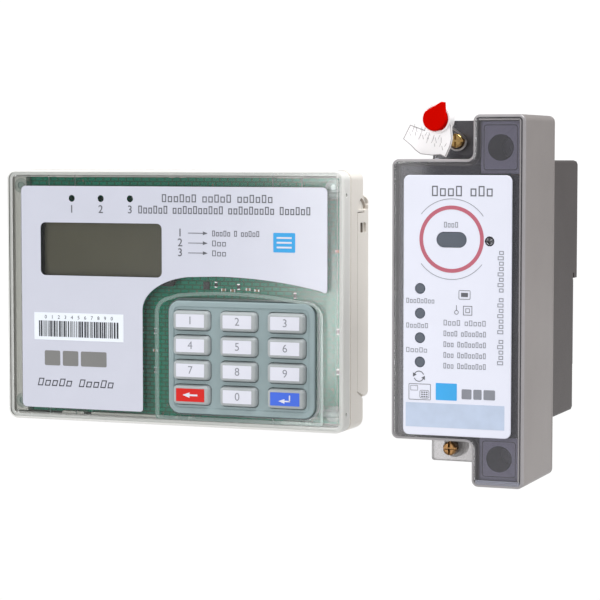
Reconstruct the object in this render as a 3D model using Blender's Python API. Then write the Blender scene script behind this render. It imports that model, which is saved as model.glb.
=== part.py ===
"""Prepaid electricity meter of the split kind: a keypad unit for the wall and a measuring unit for a rail.

Frame: +X to the right, +Z up, both fronts face -Y and both backs lie on the wall plane, y = 0.
The origin is the middle of the keypad unit's back face. All lengths below are in millimetres.
"""
import math

import bpy
import bmesh
from mathutils import Matrix, Vector

MM = 0.001
GAP = 0.3                        # air gap between pieces that touch on the real object
FINE = 0.25                      # gap round small inserts

# ---- keypad unit: driving dimensions ---------------------------------------------------------
KEYPAD_W, KEYPAD_H = 150.0, 104.0
KEYPAD_FRONT = -29.0             # front face of the clear cover
COVER_SEAM = -22.0               # rear edge of the clear cover
CASE_BACK = -5.5                 # back face of the rear case
CASE_R = 4.0                     # corner radius of both shells
SHELL_WALL = 2.2
COVER_INSIDE = KEYPAD_FRONT + SHELL_WALL
CASE_FLOOR = CASE_BACK - SHELL_WALL
BRACKET_LOW, BRACKET_HIGH = -40.0, 42.0
BRACKET_PLATE = 2.5
WING_FRONT, WING_T = -13.0, 2.2
CABLE_Z = -19.0                  # height of the cable's way in, below the origin
ENTRY_HALF_W, ENTRY_HALF_H = 14.0, 7.0
KEYHOLE_X, KEYHOLE_Z, KEYHOLE_R = 45.0, 16.0, 4.5
KEYHOLE_SLOT_W, KEYHOLE_REACH = 4.4, 9.0
WING_LOW, WING_HIGH, WING_RAKE = -36.6, 35.0, 2.6
BOSS_X, BOSS_TOP, BOSS_LOW = 69.4, 45.4, -44.6
BOARD_FRONT, BOARD_T = -22.7, 1.6
BOARD_BACK = BOARD_FRONT + BOARD_T
POCKET_DEPTH = 0.5               # recess that the label lies in
BAY_DEPTH = 0.8                  # stepped recess round the keys
LABEL_T = 0.25
LABEL_FRONT = KEYPAD_FRONT - 0.05
LCD_WINDOW = (-59.2, 8.3, -3.8, 30.2)
LED_XS, LED_Z = (-44.6, -31.3, -18.0), 40.2

# ---- keys -------------------------------------------------------------------------------------
KEY_W, KEY_H, KEY_R = 16.0, 8.0, 1.7
KEY_PITCH_X, KEY_PITCH_Z = 20.6, 10.05
KEY_LEFT_X, KEY_TOP_Z = 9.8, -8.7
KEY_FRONT, KEY_BACK = -31.5, -26.2
KEYMAT = (-0.8, -46.6, 62.8, -0.8)
KEYMAT_R = 4.8
KEY_NAMES = (("key_1", "key_2", "key_3"),
             ("key_4", "key_5", "key_6"),
             ("key_7", "key_8", "key_9"),
             ("key_backspace", "key_0", "key_enter"))

# ---- measuring unit: driving dimensions -------------------------------------------------------
METER_L, METER_R = 112.6, 162.6
TAB_L = 143.2                    # left side of the two end tabs
TAB_MID = (TAB_L + METER_R) / 2
MAIN_LOW, MAIN_HIGH = -45.4, 56.6
TAB_LOW, TAB_HIGH = -61.6, 72.6
METER_FRONT = -80.8
METER_COVER_BACK = -40.0
COVER_R = 2.4
COVER_WALL = 2.0
LEDGE_L = 117.2
LEDGE_LOW, LEDGE_HIGH = -57.6, 70.9
LEDGE_FRONT, LEDGE_BACK = -46.5, -43.6
BASE_L, BASE_R = 113.4, 161.8
BASE_LOW, BASE_HIGH = -41.0, 56.0
FLANGE_FRONT, FLANGE_BACK = -43.2, -40.6
BASE_BOX_FRONT = -39.7
BASE_WALL = 2.4
BASE_FLOOR = -10.0
BASE_BACK = -1.0
SEAL_X, SEAL_Z = 127.3, 63.4     # top seal screw
LOW_SCREW_X, LOW_SCREW_Z = 125.4, -52.4

# ---- rail channel: EN 60715 rail, 35 mm x 7.5 mm ----------------------------------------------
RAIL_TOP, RAIL_LOW = 12.5, -22.9
RAIL_SEAT = -7.5
RAIL_FLANGE_BACK = -6.0
HOOK_LOW = 10.5
SEAT_STEP = 0.4                  # the faces round the seat lie this much deeper than the seat
FOOT_BACK = -3.0                 # back of the block below the channel
FOOT_MARGIN = 4.0                # how far that block reaches past the clip on each side
LUG_R = 4.2                      # lug behind the lower ledge, round the lower screw
CLIP_L, CLIP_R = 130.1, 145.1
CLIP_TOP, CLIP_BOTTOM = -20.5, -45.4
CLIP_FRONT, CLIP_BACK = -5.9, -4.3

# ---- terminals ---------------------------------------------------------------------------------
BLOCK_L, BLOCK_R = 145.5, 160.2
LINE_BLOCK = (51.4, 70.2)
LOAD_BLOCK = (-59.2, -43.6)
BLOCK_FRONT = -78.2
BLOCK_WALL = 1.8                 # wall between a barrel and the inside of the cover
WIRE_Y = -50.0
BARREL_R, BARREL_BORE_R = 4.7, 3.4
WELL_R, WELL_FLOOR = 4.75, -59.0

# ---- boards of the measuring unit: lowest and highest corners -----------------------------------
METERING_BOARD = ((117.0, -68.2, -42.0), (158.2, -66.6, 50.0))
POWER_BOARD = ((117.4, -37.4, -37.0), (157.8, -35.8, 52.0))

# ---- label plate of the measuring unit ----------------------------------------------------------
PLATE = (117.6, -43.4, 158.1, 50.9)
PLATE_R = 2.2
PLATE_FRONT, PLATE_BACK = -82.1, -81.1
WINDOW_C = (135.8, 27.7)
WINDOW_HALF_W, WINDOW_R = 5.6, 2.75
LAMP_X, LAMP_ZS, LAMP_R = 124.0, (9.9, 0.9, -8.0, -16.8), 1.9
LABEL_SCREW = (150.0, 27.3)

# ---- seal ----------------------------------------------------------------------------------------
CUP_X, CUP_Z, CUP_R = 126.2, 71.2, 5.3
SEAL_FRONT, SEAL_BACK = -71.0, -65.0
ROTOR_R = 4.4


# =================================================================================================
# Materials
# =================================================================================================

def material(name, colour, roughness, metallic=0.0, alpha=1.0):
    """A Principled material in the piece's own colour."""
    mat = bpy.data.materials.get(name) or bpy.data.materials.new(name)
    mat.use_nodes = True
    shader = mat.node_tree.nodes["Principled BSDF"]
    shader.inputs["Base Color"].default_value = (*colour, 1.0)
    shader.inputs["Roughness"].default_value = roughness
    shader.inputs["Metallic"].default_value = metallic
    shader.inputs["Alpha"].default_value = alpha
    mat.diffuse_color = (*colour, alpha)
    return mat


def finishes():
    """Every finish of the object, by name."""
    return {
        "beige": material("beige_plastic", (0.60, 0.54, 0.46), 0.45),
        "clear": material("clear_plastic", (0.80, 0.88, 0.85), 0.08, alpha=0.35),
        "label": material("white_label", (0.78, 0.79, 0.86), 0.35),
        "board": material("green_board", (0.02, 0.26, 0.13), 0.35),
        "lcd_frame": material("display_frame", (0.16, 0.17, 0.15), 0.5),
        "lcd_glass": material("display_glass", (0.23, 0.23, 0.18), 0.15),
        "keymat": material("keymat_silicone", (0.36, 0.46, 0.50), 0.55),
        "key_white": material("key_silicone", (0.55, 0.58, 0.60), 0.5),
        "key_red": material("key_red", (0.80, 0.03, 0.03), 0.5),
        "key_blue": material("key_blue", (0.06, 0.13, 0.75), 0.5),
        "lamp": material("lamp_green", (0.02, 0.14, 0.08), 0.2),
        "chip": material("black_component", (0.02, 0.02, 0.02), 0.5),
        "terminal_green": material("terminal_green", (0.05, 0.28, 0.10), 0.5),
        "copper": material("copper", (0.72, 0.36, 0.20), 0.35, 1.0),
        "core": material("laminated_core", (0.20, 0.19, 0.18), 0.5, 0.6),
        "steel": material("steel", (0.60, 0.60, 0.62), 0.35, 1.0),
        "brass": material("brass", (0.62, 0.44, 0.16), 0.3, 1.0),
        "base": material("dark_plastic", (0.12, 0.11, 0.105), 0.5),
        "smoked": material("smoked_plastic", (0.33, 0.31, 0.29), 0.15, alpha=0.5),
        "carrier": material("carrier_plastic", (0.05, 0.05, 0.07), 0.5),
        "window": material("grey_window", (0.12, 0.14, 0.17), 0.25),
        "relay": material("relay_case", (0.03, 0.10, 0.28), 0.45),
        "seal_clear": material("seal_clear", (0.85, 0.86, 0.88), 0.08, alpha=0.4),
        "seal_red": material("seal_red", (0.80, 0.01, 0.01), 0.3),
    }


# =================================================================================================
# Outlines: closed lists of points, anticlockwise
# =================================================================================================

def rect(low_u, low_v, high_u, high_v):
    """The four corners of a rectangle."""
    return [(low_u, low_v), (high_u, low_v), (high_u, high_v), (low_u, high_v)]


def rounded(corners, radius, steps=3):
    """An outline with each corner turned into an arc of so many steps."""
    outline = []
    count = len(corners)
    for index, (u, v) in enumerate(corners):
        before, after = corners[index - 1], corners[(index + 1) % count]
        arm_in = (before[0] - u, before[1] - v)
        arm_out = (after[0] - u, after[1] - v)
        length_in, length_out = math.hypot(*arm_in), math.hypot(*arm_out)
        unit_in = (arm_in[0] / length_in, arm_in[1] / length_in)
        unit_out = (arm_out[0] / length_out, arm_out[1] / length_out)
        opening = math.acos(max(-1.0, min(1.0, unit_in[0] * unit_out[0] + unit_in[1] * unit_out[1])))
        reach = radius / math.tan(opening / 2)
        middle = (unit_in[0] + unit_out[0], unit_in[1] + unit_out[1])
        scale = radius / math.sin(opening / 2) / math.hypot(*middle)
        centre = (u + middle[0] * scale, v + middle[1] * scale)
        start = (u + unit_in[0] * reach, v + unit_in[1] * reach)
        end = (u + unit_out[0] * reach, v + unit_out[1] * reach)
        angle = math.atan2(start[1] - centre[1], start[0] - centre[0])
        sweep = math.atan2(end[1] - centre[1], end[0] - centre[0]) - angle
        sweep = (sweep + math.pi) % math.tau - math.pi
        for step in range(steps + 1):
            turn = angle + sweep * step / steps
            outline.append((centre[0] + radius * math.cos(turn), centre[1] + radius * math.sin(turn)))
    return outline


def inset(outline, distance):
    """The outline moved inwards by a distance, or outwards where that is negative."""
    moved = []
    count = len(outline)
    for index, (u, v) in enumerate(outline):
        before, after = outline[index - 1], outline[(index + 1) % count]
        normals = []
        for first, second in ((before, (u, v)), ((u, v), after)):
            du, dv = second[0] - first[0], second[1] - first[1]
            length = math.hypot(du, dv)
            normals.append((-dv / length, du / length))
        (au, av), (bu, bv) = normals
        share = distance / (1.0 + au * bu + av * bv)
        moved.append((u + (au + bu) * share, v + (av + bv) * share))
    return moved


def circle(u, v, radius, sides=16):
    """A round outline."""
    return [(u + radius * math.cos(math.tau * (i + 0.5) / sides),
             v + radius * math.sin(math.tau * (i + 0.5) / sides)) for i in range(sides)]


def arc(u, v, radius_u, radius_v, start, end, steps):
    """Points along an elliptical arc, angles in degrees."""
    turns = (math.radians(start + (end - start) * i / steps) for i in range(steps + 1))
    return [(u + radius_u * math.cos(t), v + radius_v * math.sin(t)) for t in turns]


# =================================================================================================
# Solids
# =================================================================================================

AXES = {"x": lambda u, v, w: (w, u, v), "y": lambda u, v, w: (u, w, v), "z": lambda u, v, w: (u, v, w)}


def loft(name, rings, axis="y"):
    """One closed body through rings of (level, outline), all with the same number of points."""
    place = AXES[axis]
    shape = bmesh.new()
    loops = [[shape.verts.new([c * MM for c in place(u, v, level)]) for u, v in outline]
             for level, outline in rings]
    for low, high in zip(loops, loops[1:]):
        for i in range(len(low)):
            j = (i + 1) % len(low)
            shape.faces.new((low[i], low[j], high[j], high[i]))
    shape.faces.new(loops[0])
    shape.faces.new(reversed(loops[-1]))
    bmesh.ops.recalc_face_normals(shape, faces=shape.faces)
    mesh = bpy.data.meshes.new(name)
    shape.to_mesh(mesh)
    shape.free()
    piece = bpy.data.objects.new(name, mesh)
    bpy.context.collection.objects.link(piece)
    return piece


def prism(name, outline, low, high, axis="y"):
    """An outline drawn out between two levels."""
    return loft(name, [(low, outline), (high, outline)], axis)


def block(name, low, high):
    """A box from its lowest to its highest corner."""
    return prism(name, rect(low[0], low[2], high[0], high[2]), low[1], high[1])


def rod(name, u, v, radius, low, high, axis="y", sides=16):
    """A round bar."""
    return prism(name, circle(u, v, radius, sides), low, high, axis)


def combine(piece, tools, operation):
    """Boolean with each tool in turn, applied; the tools are used up."""
    for tool in tools:
        change = piece.modifiers.new(operation.lower(), "BOOLEAN")
        change.operation = operation
        change.solver = "EXACT"
        change.object = tool
    graph = bpy.context.evaluated_depsgraph_get()
    result = bpy.data.meshes.new_from_object(piece.evaluated_get(graph))
    piece.modifiers.clear()
    piece.data = result
    for tool in tools:
        bpy.data.objects.remove(tool)
    return piece


def cut(piece, *tools):
    """Take the tools' shapes out of the piece."""
    return combine(piece, tools, "DIFFERENCE")


def fuse(piece, *tools):
    """Join the tools' shapes to the piece."""
    return combine(piece, tools, "UNION")


def finish(piece, mat, smooth_angle=35.0):
    """Give a piece its material and its shading."""
    piece.data.materials.clear()
    piece.data.materials.append(mat)
    piece.data.shade_smooth()
    piece.data.set_sharp_from_angle(angle=math.radians(smooth_angle))
    return piece


def joint_empty(name, x, y, z, parent=None):
    """An empty on a joint's axis, for the pieces that move with the joint."""
    empty = bpy.data.objects.new(name, None)
    empty.empty_display_size = 0.01
    empty["at"] = (x * MM, y * MM, z * MM)
    empty.location = empty["at"]
    if parent:
        empty.parent = parent
        empty.location = Vector(empty["at"]) - Vector(parent["at"])
    bpy.context.collection.objects.link(empty)
    return empty


def hang(empty, *pieces):
    """Parent pieces to an empty and put their origins on it, without moving them."""
    place = Vector(empty["at"])
    for piece in pieces:
        piece.data.transform(Matrix.Translation(-place))
        piece.parent = empty


# =================================================================================================
# Keypad unit
# =================================================================================================

def keypad_outline():
    """Front outline of both keypad shells."""
    return rounded(rect(-KEYPAD_W / 2, -KEYPAD_H / 2, KEYPAD_W / 2, KEYPAD_H / 2), CASE_R, 4)


def boss_places():
    """Centres of the four cover screws."""
    return [(x, z) for z in (BOSS_TOP, BOSS_LOW) for x in (-BOSS_X, BOSS_X)]


def label_outline():
    """The label: a full-width top, a left column, and an arched cut-out over the keys."""
    left, right, low, high = -68.1, 68.1, -46.9, 45.3
    column, spring = -12.6, -5.2
    shoulder = arc(12.0, spring, 12.0 - column, 14.2, 180, 100, 7)
    crown_radius, crown_x = 205.0, 20.5
    crown_z = 9.25 - crown_radius
    crown = []
    for step in range(7):
        x = crown_x + (65.0 - crown_x) * step / 6
        crown.append((x, crown_z + math.sqrt(crown_radius ** 2 - (x - crown_x) ** 2)))
    tip = [(66.2, 3.9), (67.4, 3.7), (68.1, 4.9)]
    corner_r = 2.0
    top_right = arc(right - corner_r, high - corner_r, corner_r, corner_r, 0, 90, 3)
    top_left = arc(left + corner_r, high - corner_r, corner_r, corner_r, 90, 180, 3)
    low_left = arc(left + corner_r, low + corner_r, corner_r, corner_r, 180, 270, 3)
    foot = [(column - 0.8, low), (column, low + 0.8)]
    return low_left + foot + shoulder + crown + tip + top_right + top_left


def bay_outline():
    """The stepped recess round the keys, arched at the top."""
    left, right, low = -7.0, 66.4, -49.4
    left_shoulder = arc(left + 8.0, -6.0, 8.0, 7.0, 180, 100, 5)
    crown = arc(24.0, -200.0, 200.0, 203.2, 96, 83.5, 8)
    right_shoulder = arc(right - 8.0, -7.0, 8.0, 7.6, 62, 0, 4)
    return [(left, low), (right, low)] + (left_shoulder + crown + right_shoulder)[::-1]


def front_cover(mats):
    """Clear tray with four screw bosses, label recess, stepped key bay and the key opening."""
    outer = keypad_outline()
    inner = inset(outer, SHELL_WALL)
    cover = loft("keypad_front_cover", [
        (COVER_INSIDE, inner), (COVER_SEAM, inner), (COVER_SEAM, outer),
        (KEYPAD_FRONT + 0.9, outer), (KEYPAD_FRONT + 0.25, inset(outer, 0.25)),
        (KEYPAD_FRONT, inset(outer, 0.9))])
    boss_front, boss_back = COVER_INSIDE - 0.6, BOARD_FRONT - GAP
    bosses = [rod("boss", x, z, 3.0, boss_front, boss_back, sides=14) for x, z in boss_places()]
    fuse(cover, *bosses)
    holes = [rod("boss_hole", x, z, 1.45, COVER_INSIDE + 0.3, boss_back + 1.0, sides=10) for x, z in boss_places()]
    front_clear = KEYPAD_FRONT - 1.0
    opening = rounded(rect(*KEYMAT), KEYMAT_R, 4)
    cut(cover,
        prism("label_recess", inset(label_outline(), -FINE), front_clear, KEYPAD_FRONT + POCKET_DEPTH),
        prism("key_bay", bay_outline(), front_clear, KEYPAD_FRONT + BAY_DEPTH),
        prism("key_opening", inset(opening, -0.5), front_clear, COVER_INSIDE + 1.0), *holes)
    for z in (BOSS_TOP - 3.2, BOSS_LOW):
        cut(cover, rod("seal_wire_hole", -26.0, z, 0.9, 72.2, 76.0, axis="x", sides=8))
    return finish(cover, mats["clear"])


def label(mats):
    """Printed label with the display window and three lamp holes."""
    piece = prism("keypad_label", label_outline(), LABEL_FRONT, LABEL_FRONT + LABEL_T)
    clear = (LABEL_FRONT - 1.0, LABEL_FRONT + 1.0)
    window = rounded(rect(*LCD_WINDOW), 2.0, 3)
    cut(piece, prism("display_window", window, *clear),
        *[rod("lamp_hole", x, LED_Z, 1.3, *clear, sides=12) for x in LED_XS])
    return finish(piece, mats["label"])


def wing_outline(grow=0.0):
    """Side wing of the bracket in Y and Z, with its slanted lower edge."""
    joined = CASE_BACK + 1.0
    low, high = WING_LOW - grow, WING_HIGH + grow
    return [(WING_FRONT - grow, low), (joined, low - WING_RAKE), (joined, high), (WING_FRONT - grow, high)]


def thumb_recess(side, depth=1.2):
    """Teardrop finger recess in a side wall, shared by the case and the bracket."""
    centre_y, centre_z = -4.6, 38.8
    drop = arc(centre_y, centre_z, 3.6, 3.0, 20, 340, 10) + [(centre_y + 3.9, centre_z)]
    face = side * KEYPAD_W / 2
    return prism("thumb_recess", drop, face - side * depth, face + side * 1.0, axis="x")


def rear_case(mats):
    """Beige tub with screw posts, side recesses for the bracket's wings and a cable opening."""
    outer = keypad_outline()
    inner = inset(outer, SHELL_WALL)
    half_w, half_h = KEYPAD_W / 2 - 5.0, KEYPAD_H / 2 - SHELL_WALL - 1.0
    deep = rounded(rect(-half_w, -half_h, half_w, half_h), 2.0, 4)
    front = COVER_SEAM + GAP
    step_y = WING_FRONT - 1.0
    case = loft("keypad_rear_case", [
        (CASE_FLOOR, deep), (step_y, deep), (step_y, inner), (front, inner), (front, outer),
        (CASE_BACK - 1.6, outer), (CASE_BACK - 0.4, inset(outer, 0.5)), (CASE_BACK, inset(outer, 1.6))])
    post_front = BOARD_BACK + GAP
    fuse(case, *[rod("post", x, z, 4.4, post_front, CASE_FLOOR + 1.0, sides=14) for x, z in boss_places()])
    tools = []
    for x, z in boss_places():
        tools.append(rod("screw_hole", x, z, 1.55, post_front - 1.0, CASE_BACK + 1.0, sides=10))
        tools.append(rod("screw_head_seat", x, z, 3.3, CASE_BACK - 2.6, CASE_BACK + 1.0, sides=12))
    for side in (-1, 1):
        face = side * KEYPAD_W / 2
        wing = prism("wing_recess", wing_outline(0.4), face - side * (WING_T + 0.3), face + side, axis="x")
        tools += [wing, thumb_recess(side)]
    tools.append(block("cable_opening", (-ENTRY_HALF_W, CASE_FLOOR - 1.0, CABLE_Z - ENTRY_HALF_H),
                       (ENTRY_HALF_W, CASE_BACK + 1.0, CABLE_Z + ENTRY_HALF_H)))
    cut(case, *tools)
    return finish(case, mats["beige"])


def keyhole(x, z):
    """Round entry with a narrow slot above it, for a wall screw."""
    half_w = KEYHOLE_SLOT_W / 2
    head = rod("keyhole_head", x, z, KEYHOLE_R, -BRACKET_PLATE - 1.0, 1.0, sides=16)
    slot = block("keyhole_slot", (x - half_w, -BRACKET_PLATE - 1.2, z), (x + half_w, 1.2, z + KEYHOLE_REACH))
    return head, slot


def bracket(mats):
    """Wall plate with a rim, two side wings, a cable window and two keyhole slots."""
    outer = rounded(rect(-KEYPAD_W / 2, BRACKET_LOW, KEYPAD_W / 2, BRACKET_HIGH), 2.5, 3)
    rim = inset(outer, 2.4)
    rim_front = CASE_BACK + GAP
    plate = loft("wall_bracket", [
        (-BRACKET_PLATE, rim), (rim_front, rim), (rim_front, outer), (-0.5, outer), (0.0, inset(outer, 0.5))])
    wings = []
    for side in (-1, 1):
        face = side * KEYPAD_W / 2
        wings.append(prism("wing", wing_outline(), face - side * WING_T, face, axis="x"))
    fuse(plate, *wings)
    window_half_w, window_half_h = 25.0, 13.0
    tools = [block("cable_window", (-window_half_w, -BRACKET_PLATE - 1.0, CABLE_Z - window_half_h),
                   (window_half_w, 1.0, CABLE_Z + window_half_h))]
    for x in (-KEYHOLE_X, KEYHOLE_X):
        tools += keyhole(x, KEYHOLE_Z)
    for side in (-1, 1):
        face = side * KEYPAD_W / 2
        tools.append(thumb_recess(side))
        for low, high in ((-9.6, -7.6), (-6.4, -4.4)):
            tools.append(prism("snap_slot", rect(low, 27.0, high, 31.0), face - side, face + side, axis="x"))
    cut(plate, *tools)
    return finish(plate, mats["beige"])


def key_place(row, column):
    """Centre of a key."""
    return KEY_LEFT_X + KEY_PITCH_X * column, KEY_TOP_Z - KEY_PITCH_Z * row


def keymat(mats):
    """Silicone slab raised through the cover's opening, with a flange behind it and a hole for each key."""
    slab = rounded(rect(*KEYMAT), KEYMAT_R, 4)
    low_x, low_z, high_x, high_z = KEYMAT
    flange = rounded(rect(low_x - 2.6, low_z - 2.4, high_x + 2.6, high_z + 2.6), KEYMAT_R, 4)
    flange_front, back = COVER_INSIDE + GAP, -25.6
    piece = loft("keymat", [(back, flange), (flange_front, flange), (flange_front, slab), (-28.9, slab),
                            (-29.4, inset(slab, 0.5))])
    holes = []
    for row in range(4):
        for column in range(3):
            x, z = key_place(row, column)
            half_w, half_h = KEY_W / 2 + 0.3, KEY_H / 2 + 0.3
            holes.append(prism("key_hole", rounded(rect(x - half_w, z - half_h, x + half_w, z + half_h),
                                                   KEY_R + 0.3, 2), -31.0, -24.0))
    cut(piece, *holes)
    return finish(piece, mats["keymat"])


def key(name, row, column, mat, housing):
    """One key with a softly crowned cap; its origin is on the line that it is pressed along."""
    x, z = key_place(row, column)
    body = rounded(rect(x - KEY_W / 2, z - KEY_H / 2, x + KEY_W / 2, z + KEY_H / 2), KEY_R, 3)
    piece = loft(name, [(KEY_BACK, body), (KEY_FRONT + 1.5, inset(body, 0.1)), (KEY_FRONT + 0.5, inset(body, 0.35)),
                        (KEY_FRONT + 0.12, inset(body, 0.75)), (KEY_FRONT, inset(body, 1.3))])
    finish(piece, mat)
    hang(joint_empty(name + "_press", x, KEY_BACK, z, housing), piece)


def keypad_board(mats):
    """Circuit board between the cover's bosses and the case's posts."""
    outline = rounded(rect(-72.0, -49.0, 72.0, 49.0), 2.0, 2)
    board = prism("keypad_circuit_board", outline, BOARD_FRONT, BOARD_BACK)
    cut(board, *[rod("board_hole", x, z, 1.75, BOARD_FRONT - 1.0, BOARD_BACK + 1.0, sides=10)
                 for x, z in boss_places()])
    return finish(board, mats["board"])


def display(mats):
    """Display glass on the board and the frame in front of it."""
    low_x, low_z, high_x, high_z = LCD_WINDOW
    glass_back = BOARD_FRONT - GAP
    glass = prism("lcd_glass", rect(low_x - 3.0, low_z - 2.2, high_x + 3.0, high_z + 2.2), -25.2, glass_back)
    finish(glass, mats["lcd_glass"])
    frame = prism("lcd_frame", rounded(rect(low_x - 4.5, low_z - 3.6, high_x + 4.5, high_z + 3.6), 1.5, 2),
                  -26.5, -25.5)
    cut(frame, prism("aperture", rounded(rect(low_x - 0.6, low_z - 0.6, high_x + 0.6, high_z + 0.6), 1.5, 2),
                     -27.0, -25.0))
    return glass, finish(frame, mats["lcd_frame"])


def lamps(mats):
    """Three lamp domes on the board, behind the holes of the label."""
    back, shoulder, tip = BOARD_FRONT - GAP, -25.4, -26.5
    domes = []
    for number, x in enumerate(LED_XS, start=1):
        dome = [(back, circle(x, LED_Z, 1.5, 12)), (shoulder, circle(x, LED_Z, 1.5, 12)),
                (tip + 0.3, circle(x, LED_Z, 1.1, 12)), (tip, circle(x, LED_Z, 0.5, 12))]
        domes.append(finish(loft("keypad_led_%d" % number, dome), mats["lamp"]))
    return domes


def board_components(mats):
    """Processor, buzzer, terminal block and line coupling coil on the back of the keypad's board."""
    front = BOARD_BACK + GAP
    chip_t = 1.6
    chip = prism("keypad_microcontroller", rounded(rect(-46.0, 12.0, -32.0, 26.0), 0.6, 1), front, front + chip_t)
    finish(chip, mats["chip"])
    buzzer_x, buzzer_z, buzzer_r, buzzer_t = 42.0, 22.0, 6.5, 5.5
    buzzer = rod("keypad_buzzer", buzzer_x, buzzer_z, buzzer_r, front, front + buzzer_t, sides=20)
    cut(buzzer, rod("sound_hole", buzzer_x, buzzer_z, 1.0, front + buzzer_t - 1.5, front + buzzer_t + 1.5, sides=10))
    finish(buzzer, mats["chip"])
    half_w, half_h, wire_x, wire_r = 11.0, 6.0, 5.5, 1.8
    terminal_back = CASE_FLOOR - 0.8
    block_piece = block("keypad_terminal_block", (-half_w, front, CABLE_Z - half_h),
                        (half_w, terminal_back, CABLE_Z + half_h))
    cut(block_piece, *[rod("wire_hole", x, CABLE_Z, wire_r, terminal_back - 6.2, CASE_FLOOR, sides=12)
                       for x in (-wire_x, wire_x)])
    finish(block_piece, mats["terminal_green"])
    low_x, low_z, high_x, high_z = 18.0, -36.0, 34.0, -22.0
    winding = rounded(rect(low_x, low_z, high_x, high_z), 1.0, 1)
    crown = rounded(rect(low_x + 2.0, low_z + 2.0, high_x - 2.0, high_z - 2.0), 1.0, 1)
    coil = loft("keypad_coupling_coil", [(front, winding), (front + 8.0, winding), (front + 10.0, crown)])
    finish(coil, mats["copper"])
    return [chip, buzzer, block_piece, coil]


def case_screws(mats):
    """Four screws from the back of the case into the cover's bosses."""
    head_back = CASE_BACK - 0.5
    head_front = CASE_BACK - 2.3
    screws = []
    for number, (x, z) in enumerate(boss_places(), start=1):
        rim, shank = circle(x, z, 2.9, 12), circle(x, z, 1.2, 12)
        drive = circle(x, z, 1.0, 12)
        screw = loft("case_screw_%d" % number, [
            (head_back - 1.1, drive), (head_back, drive), (head_back, inset(rim, 0.6)), (head_back - 0.6, rim),
            (head_front, rim), (head_front, shank), (COVER_INSIDE + 1.4, shank)])
        screws.append(finish(screw, mats["steel"]))
    return screws


# =================================================================================================
# Measuring unit
# =================================================================================================

def meter_outline():
    """Front outline of the cover: the main body with a tab at its top right and bottom right."""
    return [(METER_L, MAIN_LOW), (TAB_L, MAIN_LOW), (TAB_L, TAB_LOW), (METER_R, TAB_LOW),
            (METER_R, TAB_HIGH), (TAB_L, TAB_HIGH), (TAB_L, MAIN_HIGH), (METER_L, MAIN_HIGH)]


def meter_cover(mats):
    """Smoked shell with two end tabs, screw ledges, cable slots and small holes in its front."""
    outer = rounded(meter_outline(), COVER_R, 3)
    inner = inset(outer, COVER_WALL)
    inside = METER_FRONT + COVER_WALL
    shell = loft("meter_cover", [
        (inside, inner), (METER_COVER_BACK, inner), (METER_COVER_BACK, outer), (METER_FRONT + 1.0, outer),
        (METER_FRONT + 0.3, inset(outer, 0.3)), (METER_FRONT, inset(outer, 1.0))])
    overlap = 1.2
    for low, high in ((MAIN_HIGH - overlap, LEDGE_HIGH), (LEDGE_LOW, MAIN_LOW + overlap)):
        ledge = prism("ledge", rounded(rect(LEDGE_L, low, TAB_L + overlap, high), 1.0, 2), LEDGE_FRONT, LEDGE_BACK)
        fuse(shell, ledge)
    tools = [rod("seal_hole", SEAL_X, SEAL_Z, 1.9, LEDGE_FRONT - 1, LEDGE_BACK + 1, sides=12),
             rod("screw_hole", LOW_SCREW_X, LOW_SCREW_Z, 1.9, LEDGE_FRONT - 1, LEDGE_BACK + 1, sides=12),
             rod("label_screw_hole", *LABEL_SCREW, 1.1, METER_FRONT - 1, inside + 1, sides=10)]
    for low, high in ((TAB_HIGH - COVER_WALL - 1.0, TAB_HIGH + 1.0), (TAB_LOW - 1.0, TAB_LOW + COVER_WALL + 1.0)):
        arch = [(TAB_MID + 4.5, METER_COVER_BACK + 1.0)] + arc(TAB_MID, -51.5, 4.5, 4.5, 0, -180, 6)
        arch += [(TAB_MID - 4.5, METER_COVER_BACK + 1.0)]
        tools.append(prism("cable_slot", arch, low, high, axis="z"))
    cut(shell, *tools)
    return finish(shell, mats["smoked"])


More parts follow.
